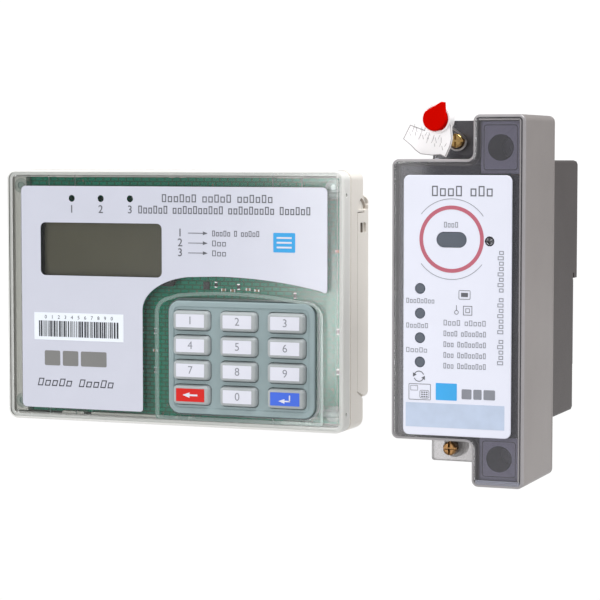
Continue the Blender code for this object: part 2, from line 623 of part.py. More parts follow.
def meter_base(mats):
    """Dark tub behind the cover, with a screw ear, a screw lug, the rail channel and the clip's slide."""
    clear = COVER_WALL + 0.6
    box_outline = rounded(rect(BASE_L, BASE_LOW, BASE_R, BASE_HIGH), 1.6, 2)
    base = loft("meter_base", [
        (BASE_BOX_FRONT, box_outline), (BASE_BACK - 1.0, box_outline), (BASE_BACK, inset(box_outline, 1.0))])
    ear_r, ear_back = TAB_L - COVER_R - GAP, BASE_BOX_FRONT + 1.2
    ear_front = LEDGE_BACK + GAP
    fuse(base,
         prism("flange", inset(meter_outline(), clear), FLANGE_FRONT, BASE_BOX_FRONT + 0.5),
         block("ear_high", (LEDGE_L, ear_front, MAIN_HIGH + GAP), (ear_r, ear_back, LEDGE_HIGH)),
         rod("lug", LOW_SCREW_X, LOW_SCREW_Z, LUG_R, ear_front, ear_back, sides=24),
         block("lug_neck", (LOW_SCREW_X - LUG_R, ear_front, LOW_SCREW_Z),
               (LOW_SCREW_X + LUG_R, ear_back, MAIN_LOW - GAP)),
         block("link_high", (LEDGE_L, BASE_BOX_FRONT, MAIN_HIGH - 4), (ear_r, ear_back, MAIN_HIGH + 2)),
         block("link_low", (LEDGE_L, BASE_BOX_FRONT, MAIN_LOW - 2), (ear_r, ear_back, BASE_LOW + 2)))
    wall_l, wall_r = BASE_L + BASE_WALL, BASE_R - BASE_WALL
    wall_low, wall_high = BASE_LOW + BASE_WALL, BASE_HIGH - BASE_WALL
    front, behind = FLANGE_FRONT - 1.0, BASE_BACK + 5.0
    side_l, side_r = BASE_L - 5.0, BASE_R + 5.0
    slide_front, lip_front, lip = CLIP_FRONT - GAP, CLIP_BACK + GAP, 3.0
    round_seat, below = RAIL_SEAT - SEAT_STEP, BASE_LOW - 1.0
    cut(base,
        block("room", (wall_l, front, wall_low), (wall_r, BASE_FLOOR, wall_high)),
        block("upper_room", (wall_l, BASE_FLOOR - 1.0, RAIL_TOP + 3.0), (wall_r, BASE_BACK - BASE_WALL, wall_high)),
        block("rail_channel", (side_l, RAIL_SEAT, RAIL_LOW), (side_r, behind, HOOK_LOW)),
        block("hook_slot", (side_l, round_seat, HOOK_LOW - SEAT_STEP), (side_r, RAIL_FLANGE_BACK, RAIL_TOP)),
        block("foot_back", (side_l, FOOT_BACK, below), (side_r, behind, RAIL_LOW + 1.0)),
        block("foot_left", (side_l, round_seat, below), (CLIP_L - FOOT_MARGIN, behind, RAIL_LOW)),
        block("foot_right", (CLIP_R + FOOT_MARGIN, round_seat, below), (side_r, behind, RAIL_LOW)),
        block("clip_slide", (CLIP_L - GAP, slide_front, below), (CLIP_R + GAP, lip_front, RAIL_LOW + 1.0)),
        block("clip_window", (CLIP_L + lip, slide_front, below), (CLIP_R - lip, behind, RAIL_LOW + 1.0)),
        rod("seal_screw_hole", SEAL_X, SEAL_Z, 1.9, ear_front - 1.0, ear_back + 1.0, sides=12),
        rod("low_screw_hole", LOW_SCREW_X, LOW_SCREW_Z, 1.9, ear_front - 1.0, ear_back + 1.0, sides=12))
    return finish(base, mats["base"])


def label_plate(mats):
    """Raised white plate on the cover, with the optical window, four lamp windows and one screw."""
    outline = rounded(rect(*PLATE), PLATE_R, 4)
    edge = 0.3
    plate = loft("meter_label_plate", [
        (PLATE_BACK, outline), (PLATE_FRONT + edge, outline), (PLATE_FRONT, inset(outline, edge))])
    x, z = WINDOW_C
    window = rounded(rect(x - WINDOW_HALF_W, z - WINDOW_R, x + WINDOW_HALF_W, z + WINDOW_R), WINDOW_R - 0.05, 5)
    front, back = PLATE_FRONT - 1.0, PLATE_BACK + 1.0
    cut(plate, prism("window_hole", inset(window, -FINE), front, back),
        rod("screw_hole", *LABEL_SCREW, 1.8, front, back, sides=14),
        *[rod("lamp_hole", LAMP_X, z_lamp, LAMP_R + FINE, front, back) for z_lamp in LAMP_ZS])
    finish(plate, mats["label"])
    insert_front = PLATE_FRONT + 0.15
    finish(prism("optical_window", window, insert_front, PLATE_BACK), mats["window"])
    for number, z_lamp in enumerate(LAMP_ZS, start=1):
        finish(rod("indicator_window_%d" % number, LAMP_X, z_lamp, LAMP_R, insert_front, PLATE_BACK), mats["window"])
    label_screw(mats)


def label_screw(mats):
    """Small screw through the label plate into the carrier; its head sits in the plate's hole."""
    head_r, shank_r, drive_r = 1.5, 0.8, 0.6
    chamfer, sunk, tip = 0.4, 0.2, METER_FRONT + 5.8
    rim, shank, drive = [circle(*LABEL_SCREW, radius, 14) for radius in (head_r, shank_r, drive_r)]
    top = PLATE_FRONT + sunk
    screw = loft("label_screw", [
        (top + 0.3, drive), (top, drive), (top, inset(rim, chamfer)), (top + 0.3, rim), (PLATE_BACK, rim),
        (PLATE_BACK, shank), (tip, shank)])
    finish(screw, mats["steel"])


def inner_carrier(mats):
    """Dark plate behind the smoked front, on four posts that hold the metering board."""
    low, high = BASE_LOW - 1.6, LINE_BLOCK[0] - 0.6
    left, right = METER_L + 3.0, METER_R - 3.0
    front, back = METER_FRONT + 2.6, METER_FRONT + 4.2
    outline = [(left, low), (right, low), (right, high), (BLOCK_L - 0.6, high), (BLOCK_L - 0.6, MAIN_HIGH - 2.6),
               (left, MAIN_HIGH - 2.6)]
    plate = prism("inner_carrier", outline, front, back)
    corners = [(x, z) for x in (left + 5, right - 5) for z in (low + 5, high - 5)]
    fuse(plate, *[rod("post", x, z, 2.5, back - 0.5, -68.5, sides=12) for x, z in corners])
    cut(plate, rod("screw_hole", *LABEL_SCREW, 1.1, front - 1.0, back + 1.0, sides=10))
    finish(plate, mats["carrier"])


def meter_boards(mats):
    """Metering board behind the carrier, and the power board with its components in the tub."""
    finish(block("metering_board", METERING_BOARD[0], METERING_BOARD[1]), mats["board"])
    finish(block("power_board", POWER_BOARD[0], POWER_BOARD[1]), mats["board"])
    behind = POWER_BOARD[1][1] + GAP
    relay_box, relay_back = rect(119.0, -35.0, 157.0, -5.0), -12.0
    relay = prism("latching_relay", rounded(relay_box, 1.0, 1), behind, relay_back)
    finish(relay, mats["relay"])
    core_back, bobbin_back = -15.0, -13.0
    core = block("power_transformer", (120.0, behind + 2.0, 17.0), (144.0, core_back, 45.0))
    fuse(core, block("bobbin", (123.5, behind, 22.0), (140.5, bobbin_back, 40.0)))
    finish(core, mats["core"])
    can, can_back, can_edge = circle(151.0, 24.0, 5.0, 16), -18.3, 0.7
    capacitor = loft("reservoir_capacitor", [
        (behind, can), (can_back - can_edge, can), (can_back, inset(can, can_edge))])
    finish(capacitor, mats["chip"])


def current_path(mats):
    """Shunt at the line terminal and busbar at the load terminal, each with a foot to the power board."""
    half_w, half_t, foot_t = 4.0, 1.0, 2.0
    foot_back = POWER_BOARD[0][1] - GAP
    shunt_ends = (2.0, LINE_BLOCK[0] + BLOCK_WALL)
    busbar_ends = (LOAD_BLOCK[1] - BLOCK_WALL, -10.0)
    for name, (low, high), foot_low in (("current_shunt", shunt_ends, shunt_ends[0]),
                                        ("load_busbar", busbar_ends, busbar_ends[1] - foot_t)):
        bar = block(name, (TAB_MID - half_w, WIRE_Y - half_t, low), (TAB_MID + half_w, WIRE_Y + half_t, high))
        fuse(bar, block("foot", (TAB_MID - half_w + 0.5, WIRE_Y, foot_low),
                        (TAB_MID + half_w - 0.5, foot_back, foot_low + foot_t)))
        finish(bar, mats["copper"])


def terminals(mats):
    """The line terminal, whose wire leaves upwards, and the load terminal, whose wire leaves downwards."""
    terminal("line", LINE_BLOCK[0], LINE_BLOCK[1], 1, mats)
    terminal("load", LOAD_BLOCK[1], LOAD_BLOCK[0], -1, mats)


def terminal(name, inner_end, outer_end, way, mats):
    """Insulating block, brass barrel and clamping screw; way is the direction in which the wire leaves."""
    low, high = sorted((inner_end, outer_end))
    middle, beyond = (low + high) / 2, outer_end + way
    wall = inner_end + way * BLOCK_WALL
    neck_r, thread_r = 2.4, 2.2
    slot_half_w, slot_half_t = 4.3, 1.3
    slot_low, slot_high = sorted((inner_end - way, wall + way))
    body = block(name + "_terminal_block", (BLOCK_L, BLOCK_FRONT, low), (BLOCK_R, FLANGE_FRONT - GAP, high))
    cut(body,
        rod("barrel_hole", TAB_MID, WIRE_Y, BARREL_R + GAP, *sorted((wall, beyond)), axis="z", sides=20),
        rod("screw_well", TAB_MID, middle, WELL_R, BLOCK_FRONT - 1.0, WELL_FLOOR, sides=20),
        rod("screw_neck", TAB_MID, middle, neck_r, WELL_FLOOR - 1.0, WIRE_Y, sides=12),
        block("bar_slot", (TAB_MID - slot_half_w, WIRE_Y - slot_half_t, slot_low),
              (TAB_MID + slot_half_w, WIRE_Y + slot_half_t, slot_high)))
    finish(body, mats["carrier"])
    near, far = wall + way * GAP, outer_end - way * GAP
    closed_end = 2.0
    barrel = rod(name + "_terminal_barrel", TAB_MID, WIRE_Y, BARREL_R, *sorted((near, far)), axis="z", sides=20)
    cut(barrel,
        rod("bore", TAB_MID, WIRE_Y, BARREL_BORE_R, *sorted((near + way * closed_end, beyond)), axis="z", sides=20),
        rod("thread", TAB_MID, middle, thread_r, WIRE_Y - BARREL_R - 1.0, WIRE_Y, sides=12))
    finish(barrel, mats["brass"])
    head_back, head_t, drive_deep = WELL_FLOOR - GAP, 3.3, 1.6
    head_front = head_back - head_t
    rim, shank, drive = [circle(TAB_MID, middle, radius, 16) for radius in (3.9, 1.8, 1.6)]
    screw = loft(name + "_terminal_screw", [
        (head_front + drive_deep, drive), (head_front, drive), (head_front, inset(rim, 0.5)), (head_front + 0.5, rim),
        (head_back, rim), (head_back, shank), (WIRE_Y - BARREL_BORE_R - 0.2, shank)])
    finish(screw, mats["steel"])


def seal_screw(name, x, z, mats):
    """Brass screw with a crossed slot and a hole through its head for the seal wire."""
    head_front, head_back = LEDGE_FRONT - 4.3, LEDGE_FRONT - GAP
    rim, shank = circle(x, z, 2.7, 16), circle(x, z, 1.5, 16)
    screw = loft(name, [(head_front, inset(rim, 0.5)), (head_front + 0.4, rim), (head_back, rim),
                        (head_back, shank), (-37.0, shank)])
    slot_back = head_front + 1.1
    cut(screw,
        block("slot_across", (x - 3.5, head_front - 1.0, z - 0.4), (x + 3.5, slot_back, z + 0.4)),
        block("slot_down", (x - 0.4, head_front - 1.0, z - 3.5), (x + 0.4, slot_back - 0.01, z + 3.5)),
        rod("wire_hole", head_back - 1.4, z, 0.7, x - 4.0, x + 4.0, axis="x", sides=8))
    finish(screw, mats["brass"])


def seal_tag_outline():
    """The seal's flat tag: a flag with a wavy lower edge."""
    lower_edge = [(112.8, 64.0), (114.4, 62.7), (116.0, 61.4), (117.4, 59.9), (119.5, 58.4), (123.9, 57.9),
                  (127.1, 58.2), (129.0, 57.3)]
    return lower_edge + [(130.9, 61.4), (131.5, 64.0), (131.0, 71.0), (121.5, 70.5), (121.0, 67.2), (117.4, 68.5),
                         (115.5, 69.2)]


def seal(mats):
    """Twist seal: clear cup with its tag, the red rotor in the cup, and the wire round the top screw."""
    tag_front, tag_back = SEAL_FRONT + 2.4, SEAL_BACK - 2.2
    body = prism("seal_body", seal_tag_outline(), tag_front, tag_back)
    fuse(body, rod("cup", CUP_X, CUP_Z, CUP_R, SEAL_FRONT, SEAL_BACK, sides=24))
    cut(body, rod("cup_room", CUP_X, CUP_Z, ROTOR_R + GAP, SEAL_FRONT - 1.0, SEAL_BACK - 1.0, sides=24))
    finish(body, mats["seal_clear"])
    rotor = rod("seal_rotor", CUP_X, CUP_Z, ROTOR_R - 0.3, SEAL_FRONT - 1.0, SEAL_BACK - 1.3, sides=20)
    grip_front, grip_back = SEAL_FRONT - 2.4, SEAL_FRONT - GAP
    drop = arc(CUP_X, CUP_Z, ROTOR_R, ROTOR_R, 142, 360, 12)
    drop += [(CUP_X + 3.9, CUP_Z + 2.6), (CUP_X + 3.8, CUP_Z + 6.0), (CUP_X + 2.6, CUP_Z + 6.2)]
    fuse(rotor, loft("grip", [(grip_front, inset(drop, 0.4)), (grip_front + 0.4, drop), (grip_back, drop)]))
    finish(rotor, mats["seal_red"])
    wire = seal_wire(mats)
    swing = joint_empty("seal_swing", SEAL_X, LEDGE_FRONT, SEAL_Z)
    hang(swing, body, wire)
    hang(joint_empty("seal_rotor_turn", CUP_X, SEAL_FRONT, CUP_Z, swing), rotor)


def seal_wire(mats):
    """Wire from the cup's back, round the neck of the top screw, and back to the cup."""
    loop_r, loop_y = 3.5, LEDGE_FRONT - 2.2
    start_y = SEAL_BACK + 0.4
    round_screw = [(SEAL_X + loop_r * math.cos(t), loop_y, SEAL_Z + loop_r * math.sin(t))
                   for t in (math.radians(180 + 180 * i / 8) for i in range(9))]
    way_in = [(124.9, start_y, 69.4), (124.5, start_y + 3.0, 68.6), (123.9, -57.0, 66.6), (123.7, -52.0, 64.8)]
    way_out = [(130.9, -52.0, 64.8), (130.4, -57.0, 66.6), (128.3, start_y + 3.0, 68.6), (127.6, start_y, 69.4)]
    curve = bpy.data.curves.new("seal_wire_path", "CURVE")
    curve.dimensions = "3D"
    curve.bevel_depth = 0.45 * MM
    curve.bevel_resolution = 1
    curve.use_fill_caps = True
    path = curve.splines.new("POLY")
    points = way_in + round_screw + way_out
    path.points.add(len(points) - 1)
    for point, place in zip(path.points, points):
        point.co = (*[c * MM for c in place], 1.0)
    source = bpy.data.objects.new("seal_wire_path", curve)
    bpy.context.collection.objects.link(source)
    graph = bpy.context.evaluated_depsgraph_get()
    mesh = bpy.data.meshes.new_from_object(source.evaluated_get(graph))
    bpy.data.objects.remove(source)
    wire = bpy.data.objects.new("seal_wire", mesh)
    bpy.context.collection.objects.link(wire)
    return finish(wire, mats["steel"], 60.0)


def din_clip(mats):
    """Sliding rail clip: a plate in the foot's slide, with a pull tab below the base."""
    tab_front, tab_high, ramp = CLIP_FRONT - 4.5, BASE_LOW - 1.0, 2.0
    section = [(CLIP_FRONT, CLIP_TOP - ramp), (CLIP_BACK - 0.4, CLIP_TOP), (CLIP_BACK, CLIP_TOP),
               (CLIP_BACK, CLIP_BOTTOM), (tab_front, CLIP_BOTTOM), (tab_front, tab_high), (CLIP_FRONT, tab_high)]
    clip = prism("din_clip", section, CLIP_L, CLIP_R, axis="x")
    middle, slot_half_w = (CLIP_L + CLIP_R) / 2, 3.0
    cut(clip, block("driver_slot", (middle - slot_half_w, CLIP_FRONT - 3.6, CLIP_BOTTOM - 1.0),
                    (middle + slot_half_w, CLIP_FRONT - 2.0, BASE_LOW)))
    finish(clip, mats["chip"])
    hang(joint_empty("din_clip_pull", middle, CLIP_BACK, CLIP_TOP), clip)


# =================================================================================================
# Build
# =================================================================================================

def clear_scene():
    """Remove whatever the file holds."""
    for item in list(bpy.data.objects):
        bpy.data.objects.remove(item, do_unlink=True)


def build():
    """Model both units."""
    clear_scene()
    mats = finishes()
    bracket(mats)
    housing = joint_empty("keypad_pull_off", 0.0, CASE_BACK, 0.0)
    hang(housing, rear_case(mats), front_cover(mats), label(mats), keypad_board(mats), keymat(mats),
         *display(mats), *lamps(mats), *board_components(mats), *case_screws(mats))
    for row, names in enumerate(KEY_NAMES):
        for column, name in enumerate(names):
            colour = {"key_backspace": "key_red", "key_enter": "key_blue"}.get(name, "key_white")
            key(name, row, column, mats[colour], housing)
    meter_base(mats)
    meter_cover(mats)
    label_plate(mats)
    inner_carrier(mats)
    meter_boards(mats)
    current_path(mats)
    terminals(mats)
    seal_screw("seal_screw_top", SEAL_X, SEAL_Z, mats)
    seal_screw("seal_screw_bottom", LOW_SCREW_X, LOW_SCREW_Z, mats)
    seal(mats)
    din_clip(mats)


build()
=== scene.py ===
"""Looks of the prepaid electricity meter: the keypad unit for the wall and the measuring unit for a rail.

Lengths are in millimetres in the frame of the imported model, +X right, +Z up, fronts facing -Y.
"""
import math
import random

import bpy
import bmesh
from mathutils import Matrix, Vector


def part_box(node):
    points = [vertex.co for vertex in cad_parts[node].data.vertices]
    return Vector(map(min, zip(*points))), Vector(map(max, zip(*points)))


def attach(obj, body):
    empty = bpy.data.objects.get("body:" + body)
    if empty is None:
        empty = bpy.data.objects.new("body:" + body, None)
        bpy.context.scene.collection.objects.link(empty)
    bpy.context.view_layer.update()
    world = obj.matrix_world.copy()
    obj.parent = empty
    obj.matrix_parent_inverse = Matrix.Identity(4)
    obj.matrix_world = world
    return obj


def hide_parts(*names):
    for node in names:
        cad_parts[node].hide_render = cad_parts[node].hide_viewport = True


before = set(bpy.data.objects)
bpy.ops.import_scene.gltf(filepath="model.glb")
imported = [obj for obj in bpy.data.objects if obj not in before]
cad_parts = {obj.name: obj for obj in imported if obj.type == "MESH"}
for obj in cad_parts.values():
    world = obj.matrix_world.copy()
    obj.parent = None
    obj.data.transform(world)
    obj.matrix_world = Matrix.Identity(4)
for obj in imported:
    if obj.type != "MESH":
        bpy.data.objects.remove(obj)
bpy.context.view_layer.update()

MM = 0.001


def box(node):
    """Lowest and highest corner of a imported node, in millimetres."""
    low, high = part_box(node)
    return low / MM, high / MM


# ---- Places read from the frame -----------------------------------------------------------------
COVER_LOW, COVER_HIGH = box("keypad_front_cover")
CASE_LOW, CASE_HIGH = box("keypad_rear_case")
LABEL_LOW, LABEL_HIGH = box("keypad_label")
BOARD_LOW, BOARD_HIGH = box("keypad_circuit_board")
MAT_LOW, MAT_HIGH = box("keymat")
LCD_LOW, LCD_HIGH = box("lcd_glass")
METER_LOW, METER_HIGH = box("meter_cover")
PLATE_LOW, PLATE_HIGH = box("meter_label_plate")
LINE_LOW, LINE_HIGH = box("line_terminal_block")
WINDOW_LOW, WINDOW_HIGH = box("optical_window")

# ---- Sizes of the keypad unit's finer pieces ----------------------------------------------------
CASE_R, SHELL_WALL = 4.0, 2.2
KEYPAD_FRONT, COVER_SEAM = COVER_LOW.y, COVER_HIGH.y
COVER_INSIDE = KEYPAD_FRONT + SHELL_WALL
BOARD_FRONT = BOARD_LOW.y
CASE_BACK, CASE_FRONT = CASE_HIGH.y, CASE_LOW.y
LABEL_T, LABEL_FRONT, LABEL_GAP = 0.25, LABEL_LOW.y, 0.25
BOSSES = [(x, z) for z in (45.4, -44.6) for x in (-69.4, 69.4)]      # centres of the four cover screws
WIRE_HOLE_Y, WIRE_HOLE_ZS = -26.0, (42.2, -44.6)
LCD_WINDOW = (LCD_LOW.x + 3.0, LCD_LOW.z + 2.2, LCD_HIGH.x - 3.0, LCD_HIGH.z - 2.2)
LED_XS, LED_Z, LED_R = (-44.6, -31.3, -18.0), 40.2, 1.5
KEYMAT = (MAT_LOW.x + 2.6, MAT_LOW.z + 2.4, MAT_HIGH.x - 2.6, MAT_HIGH.z - 2.6)
KEYMAT_R = 4.8
KEY_NAMES = ["key_" + sign for sign in (*"123456789", "backspace", "0", "enter")]
WING_FRONT, WING_T = -13.0, 2.2
RECESS_Y, RECESS_Z, RECESS_DEPTH = -6.7, 36.2, 1.2
SNAP_SLOTS, SNAP_DEPTH = ((-9.9, -7.2), (-5.8, -3.1)), 2.0

# ---- Sizes of the measuring unit's finer pieces -------------------------------------------------
METER_L, METER_R = METER_LOW.x, METER_HIGH.x
METER_FRONT, METER_BACK = METER_LOW.y, METER_HIGH.y
TAB_LOW, TAB_HIGH = METER_LOW.z, METER_HIGH.z
TAB_L, MAIN_LOW, MAIN_HIGH = 143.2, -45.4, 56.6
TAB_MID = (LINE_LOW.x + LINE_HIGH.x) / 2
COVER_R, COVER_WALL = 2.4, 2.0
METER_INSIDE = METER_FRONT + COVER_WALL
LEDGE_L, LEDGE_LOW, LEDGE_HIGH = 117.2, -57.6, 70.9
LEDGE_FRONT, LEDGE_BACK = -46.5, -43.6
TOP_SCREW, BOTTOM_SCREW, LABEL_SCREW = (127.3, 63.4), (125.4, -52.4), (150.0, 27.3)
PLATE = (PLATE_LOW.x, PLATE_LOW.z, PLATE_HIGH.x, PLATE_HIGH.z)
PLATE_R = 2.2
PRINT_T, PRINT_GAP = 0.04, 0.005     # thickness of a printed mark, and its gap to the face
PLATE_SKIN = PLATE_LOW.y + 0.06      # the plate's visible face, just behind the print
WINDOW_C = ((WINDOW_LOW.x + WINDOW_HIGH.x) / 2, (WINDOW_LOW.z + WINDOW_HIGH.z) / 2)
LAMP_X, LAMP_ZS, LAMP_R = 124.0, (9.9, 0.9, -8.0, -16.8), 1.9
BUSHING_R = 4.5                      # the cable slots and the mouths of the screw wells
CUP_X, CUP_Z = 126.2, 71.2           # the seal's cup and rotor


# ---- Outlines -----------------------------------------------------------------------------------

def rect(low_u, low_v, high_u, high_v):
    """The four corners of a rectangle, anticlockwise."""
    return [(low_u, low_v), (high_u, low_v), (high_u, high_v), (low_u, high_v)]


def rounded(corners, radius, steps=8):
    """An outline with each corner turned into an arc."""
    outline = []
    count = len(corners)
    for index, (u, v) in enumerate(corners):
        before, after = corners[index - 1], corners[(index + 1) % count]
        arm_in = Vector((before[0] - u, before[1] - v)).normalized()
        arm_out = Vector((after[0] - u, after[1] - v)).normalized()
        half = math.acos(max(-1.0, min(1.0, arm_in.dot(arm_out)))) / 2
        corner = Vector((u, v))
        centre = corner + (arm_in + arm_out).normalized() * (radius / math.sin(half))
        start = corner + arm_in * (radius / math.tan(half)) - centre
        end = corner + arm_out * (radius / math.tan(half)) - centre
        angle = math.atan2(start.y, start.x)
        sweep = (math.atan2(end.y, end.x) - angle + math.pi) % math.tau - math.pi
        for step in range(steps + 1):
            turn = angle + sweep * step / steps
            outline.append((centre.x + radius * math.cos(turn), centre.y + radius * math.sin(turn)))
    return outline


def pad(low_u, low_v, high_u, high_v, radius, steps=8):
    """A rectangle with round corners."""
    return rounded(rect(low_u, low_v, high_u, high_v), radius, steps)


def inset(outline, distance):
    """The outline moved inwards by a distance."""
    moved = []
    count = len(outline)
    for index, (u, v) in enumerate(outline):
        before, after = outline[index - 1], outline[(index + 1) % count]
        first = Vector((u - before[0], v - before[1])).normalized()
        second = Vector((after[0] - u, after[1] - v)).normalized()
        normal = Vector((-first.y - second.y, first.x + second.x))
        share = distance / (1.0 + first.dot(second))
        moved.append((u + normal.x * share, v + normal.y * share))
    return moved


def circle(u, v, radius, sides=48):
    """A round outline."""
    return [(u + radius * math.cos(math.tau * i / sides), v + radius * math.sin(math.tau * i / sides))
            for i in range(sides)]


def arc(u, v, radius_u, radius_v, start, end, steps=16):
    """Points along an elliptical arc, angles in degrees."""
    turns = (math.radians(start + (end - start) * i / steps) for i in range(steps + 1))
    return [(u + radius_u * math.cos(t), v + radius_v * math.sin(t)) for t in turns]


def corner(u, v, radius, start, steps):
    """The quarter arc that rounds off a corner at a point; start is its first angle."""
    side = radius if start in (90, 180) else -radius
    height = radius if start in (180, 270) else -radius
    return arc(u + side, v + height, radius, radius, start, start + 90, steps)


def fillet(level, outline, radius, way=1, steps=5):
    """Rings (level, outline) that round an edge over into the face at this level."""
    rings = []
    for step in range(steps + 1):
        turn = math.pi / 2 * step / steps
        ring = inset(outline, radius * (1 - math.cos(turn)))
        rings.append((level + way * radius * (1 - math.sin(turn)), ring))
    return rings


# ---- Meshes -------------------------------------------------------------------------------------

AXES = {"x": lambda u, v, w: (w, u, v), "y": lambda u, v, w: (u, w, v), "z": lambda u, v, w: (u, v, w)}


def linked(name, data):
    """A new object of the scene with this data."""
    item = bpy.data.objects.new(name, data)
    bpy.context.scene.collection.objects.link(item)
    return item


def to_object(name, shape):
    """A new object with this bmesh as its mesh."""
    bmesh.ops.recalc_face_normals(shape, faces=shape.faces)
    mesh = bpy.data.meshes.new(name)
    shape.to_mesh(mesh)
    shape.free()
    return linked(name, mesh)


def add_loft(shape, rings, axis="y"):
    """Add one closed body through rings of (level, outline) to a bmesh."""
    place = AXES[axis]
    loops = [[shape.verts.new([c * MM for c in place(u, v, level)]) for u, v in outline]
             for level, outline in rings]
    for low, high in zip(loops, loops[1:]):
        for i in range(len(low)):
            j = (i + 1) % len(low)
            shape.faces.new((low[i], low[j], high[j], high[i]))
    shape.faces.new(loops[0])
    shape.faces.new(reversed(loops[-1]))


def add_prism(shape, outline, low, high, axis="y"):
    """Add an outline drawn out between two levels to a bmesh."""
    add_loft(shape, [(low, outline), (high, outline)], axis)


def loft(name, rings, axis="y"):
    """One closed body through rings of (level, outline)."""
    shape = bmesh.new()
    add_loft(shape, rings, axis)
    return to_object(name, shape)


def prism(name, outline, low, high, axis="y"):
    """An outline drawn out between two levels."""
    return loft(name, [(low, outline), (high, outline)], axis)


def block(name, low, high):
    """A box from its lowest to its highest corner."""
    return prism(name, rect(low[0], low[2], high[0], high[2]), low[1], high[1])


def rod(name, u, v, radius, low, high, axis="y", sides=48):
    """A round bar."""
    return prism(name, circle(u, v, radius, sides), low, high, axis)


def add_band(shape, outer, inner, low, high, closed=True):
    """Add a flat strip between two lines with the same number of points."""
    corners = [[shape.verts.new((u * MM, w * MM, v * MM)) for u, v in line]
               for line, w in ((outer, low), (inner, low), (inner, high), (outer, high))]
    count = len(outer)
    for i in range(count if closed else count - 1):
        j = (i + 1) % count
        for one, two in ((0, 1), (1, 2), (2, 3), (3, 0)):
            shape.faces.new((corners[one][i], corners[one][j], corners[two][j], corners[two][i]))
    if not closed:
        shape.faces.new([line[0] for line in corners])
        shape.faces.new([line[-1] for line in reversed(corners)])


def evaluated(piece):
    """A piece's mesh with its modifiers applied."""
    graph = bpy.context.evaluated_depsgraph_get()
    return bpy.data.meshes.new_from_object(piece.evaluated_get(graph))


def combine(piece, tools, operation):
    """Boolean with each tool in turn, applied; the tools are used up."""
    for tool in tools:
        change = piece.modifiers.new(operation.lower(), "BOOLEAN")
        change.operation = operation
        change.solver = "EXACT"
        change.object = tool
    result = evaluated(piece)
    piece.modifiers.clear()
    piece.data = result
    for tool in tools:
        bpy.data.objects.remove(tool)
    return piece


def cut(piece, *tools):
    """Take the tools' shapes out of the piece."""
    return combine(piece, tools, "DIFFERENCE")


def fuse(piece, *tools):
    """Join the tools' shapes to the piece."""
    return combine(piece, tools, "UNION")


def tidy_mesh(piece):
    """Weld the mesh and dissolve the edges inside its flat faces."""
    shape = bmesh.new()
    shape.from_mesh(piece.data)
    bmesh.ops.remove_doubles(shape, verts=shape.verts, dist=2e-6)
    bmesh.ops.dissolve_limit(shape, angle_limit=math.radians(0.5), verts=shape.verts, edges=shape.edges)
    clean = bpy.data.meshes.new(piece.name)
    shape.to_mesh(clean)
    shape.free()
    if "custom_normal" in clean.attributes:
        clean.attributes.remove(clean.attributes["custom_normal"])
    piece.data = clean
    return piece


def smooth(piece, angle):
    """Shade a piece smooth and keep the edges above this angle sharp."""
    piece.data.shade_smooth()
    piece.data.set_sharp_from_angle(angle=math.radians(angle))


def soften(piece, width, segments=2, angle=32.0):
    """Round the piece's edges and shade it smooth; with no width, only shade it."""
    tidy_mesh(piece)
    if width:
        bevel = piece.modifiers.new("edges", "BEVEL")
        bevel.width = width * MM
        bevel.segments = segments
        bevel.limit_method = "ANGLE"
        bevel.angle_limit = math.radians(angle)
        bevel.miter_outer = "MITER_ARC"
        bevel.use_clamp_overlap = True
        piece.data.shade_smooth()
    else:
        smooth(piece, angle)
    normals = piece.modifiers.new("normals", "WEIGHTED_NORMAL")
    normals.keep_sharp = True
    return piece


def copy_of(node, name):
    """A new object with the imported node's shape."""
    return linked(name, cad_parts[node].data.copy())


def wear(piece, *paints):
    """Give a piece its finishes."""
    piece.data.materials.clear()
    for paint in paints:
        piece.data.materials.append(FINISHES[paint])
    return piece


def settle(piece, body, slot, *nodes):
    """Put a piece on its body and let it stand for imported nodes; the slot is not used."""
    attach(piece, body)
    if nodes:
        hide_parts(*nodes)
    return piece


def dress(piece, paint, body, slot, *nodes):
    """Give a piece its one finish and settle it."""
    return settle(wear(piece, paint), body, slot, *nodes)


# ---- Finishes -----------------------------------------------------------------------------------

def set_inputs(node, values):
    """Set a shader node's inputs by name or number."""
    for name, value in values.items():
        node.inputs[name].default_value = value


def add_node(tree, kind, values=None, **settings):
    """A shader node with its settings and the values of its inputs."""
    node = tree.nodes.new("ShaderNode" + kind)
    for name, value in settings.items():
        setattr(node, name, value)
    set_inputs(node, values or {})
    return node


def link(tree, *wires):
    """Connect nodes; a wire is a node, its output, the next node and that node's input."""
    for source, output, target, entry in wires:
        tree.links.new(source.outputs[output], target.inputs[entry])


def new_finish(values):
    """A material, its node tree, and its main shader with these values."""
    mat = bpy.data.materials.new("finish")
    mat.use_nodes = True
    shader = mat.node_tree.nodes["Principled BSDF"]
    set_inputs(shader, values)
    return mat, mat.node_tree, shader


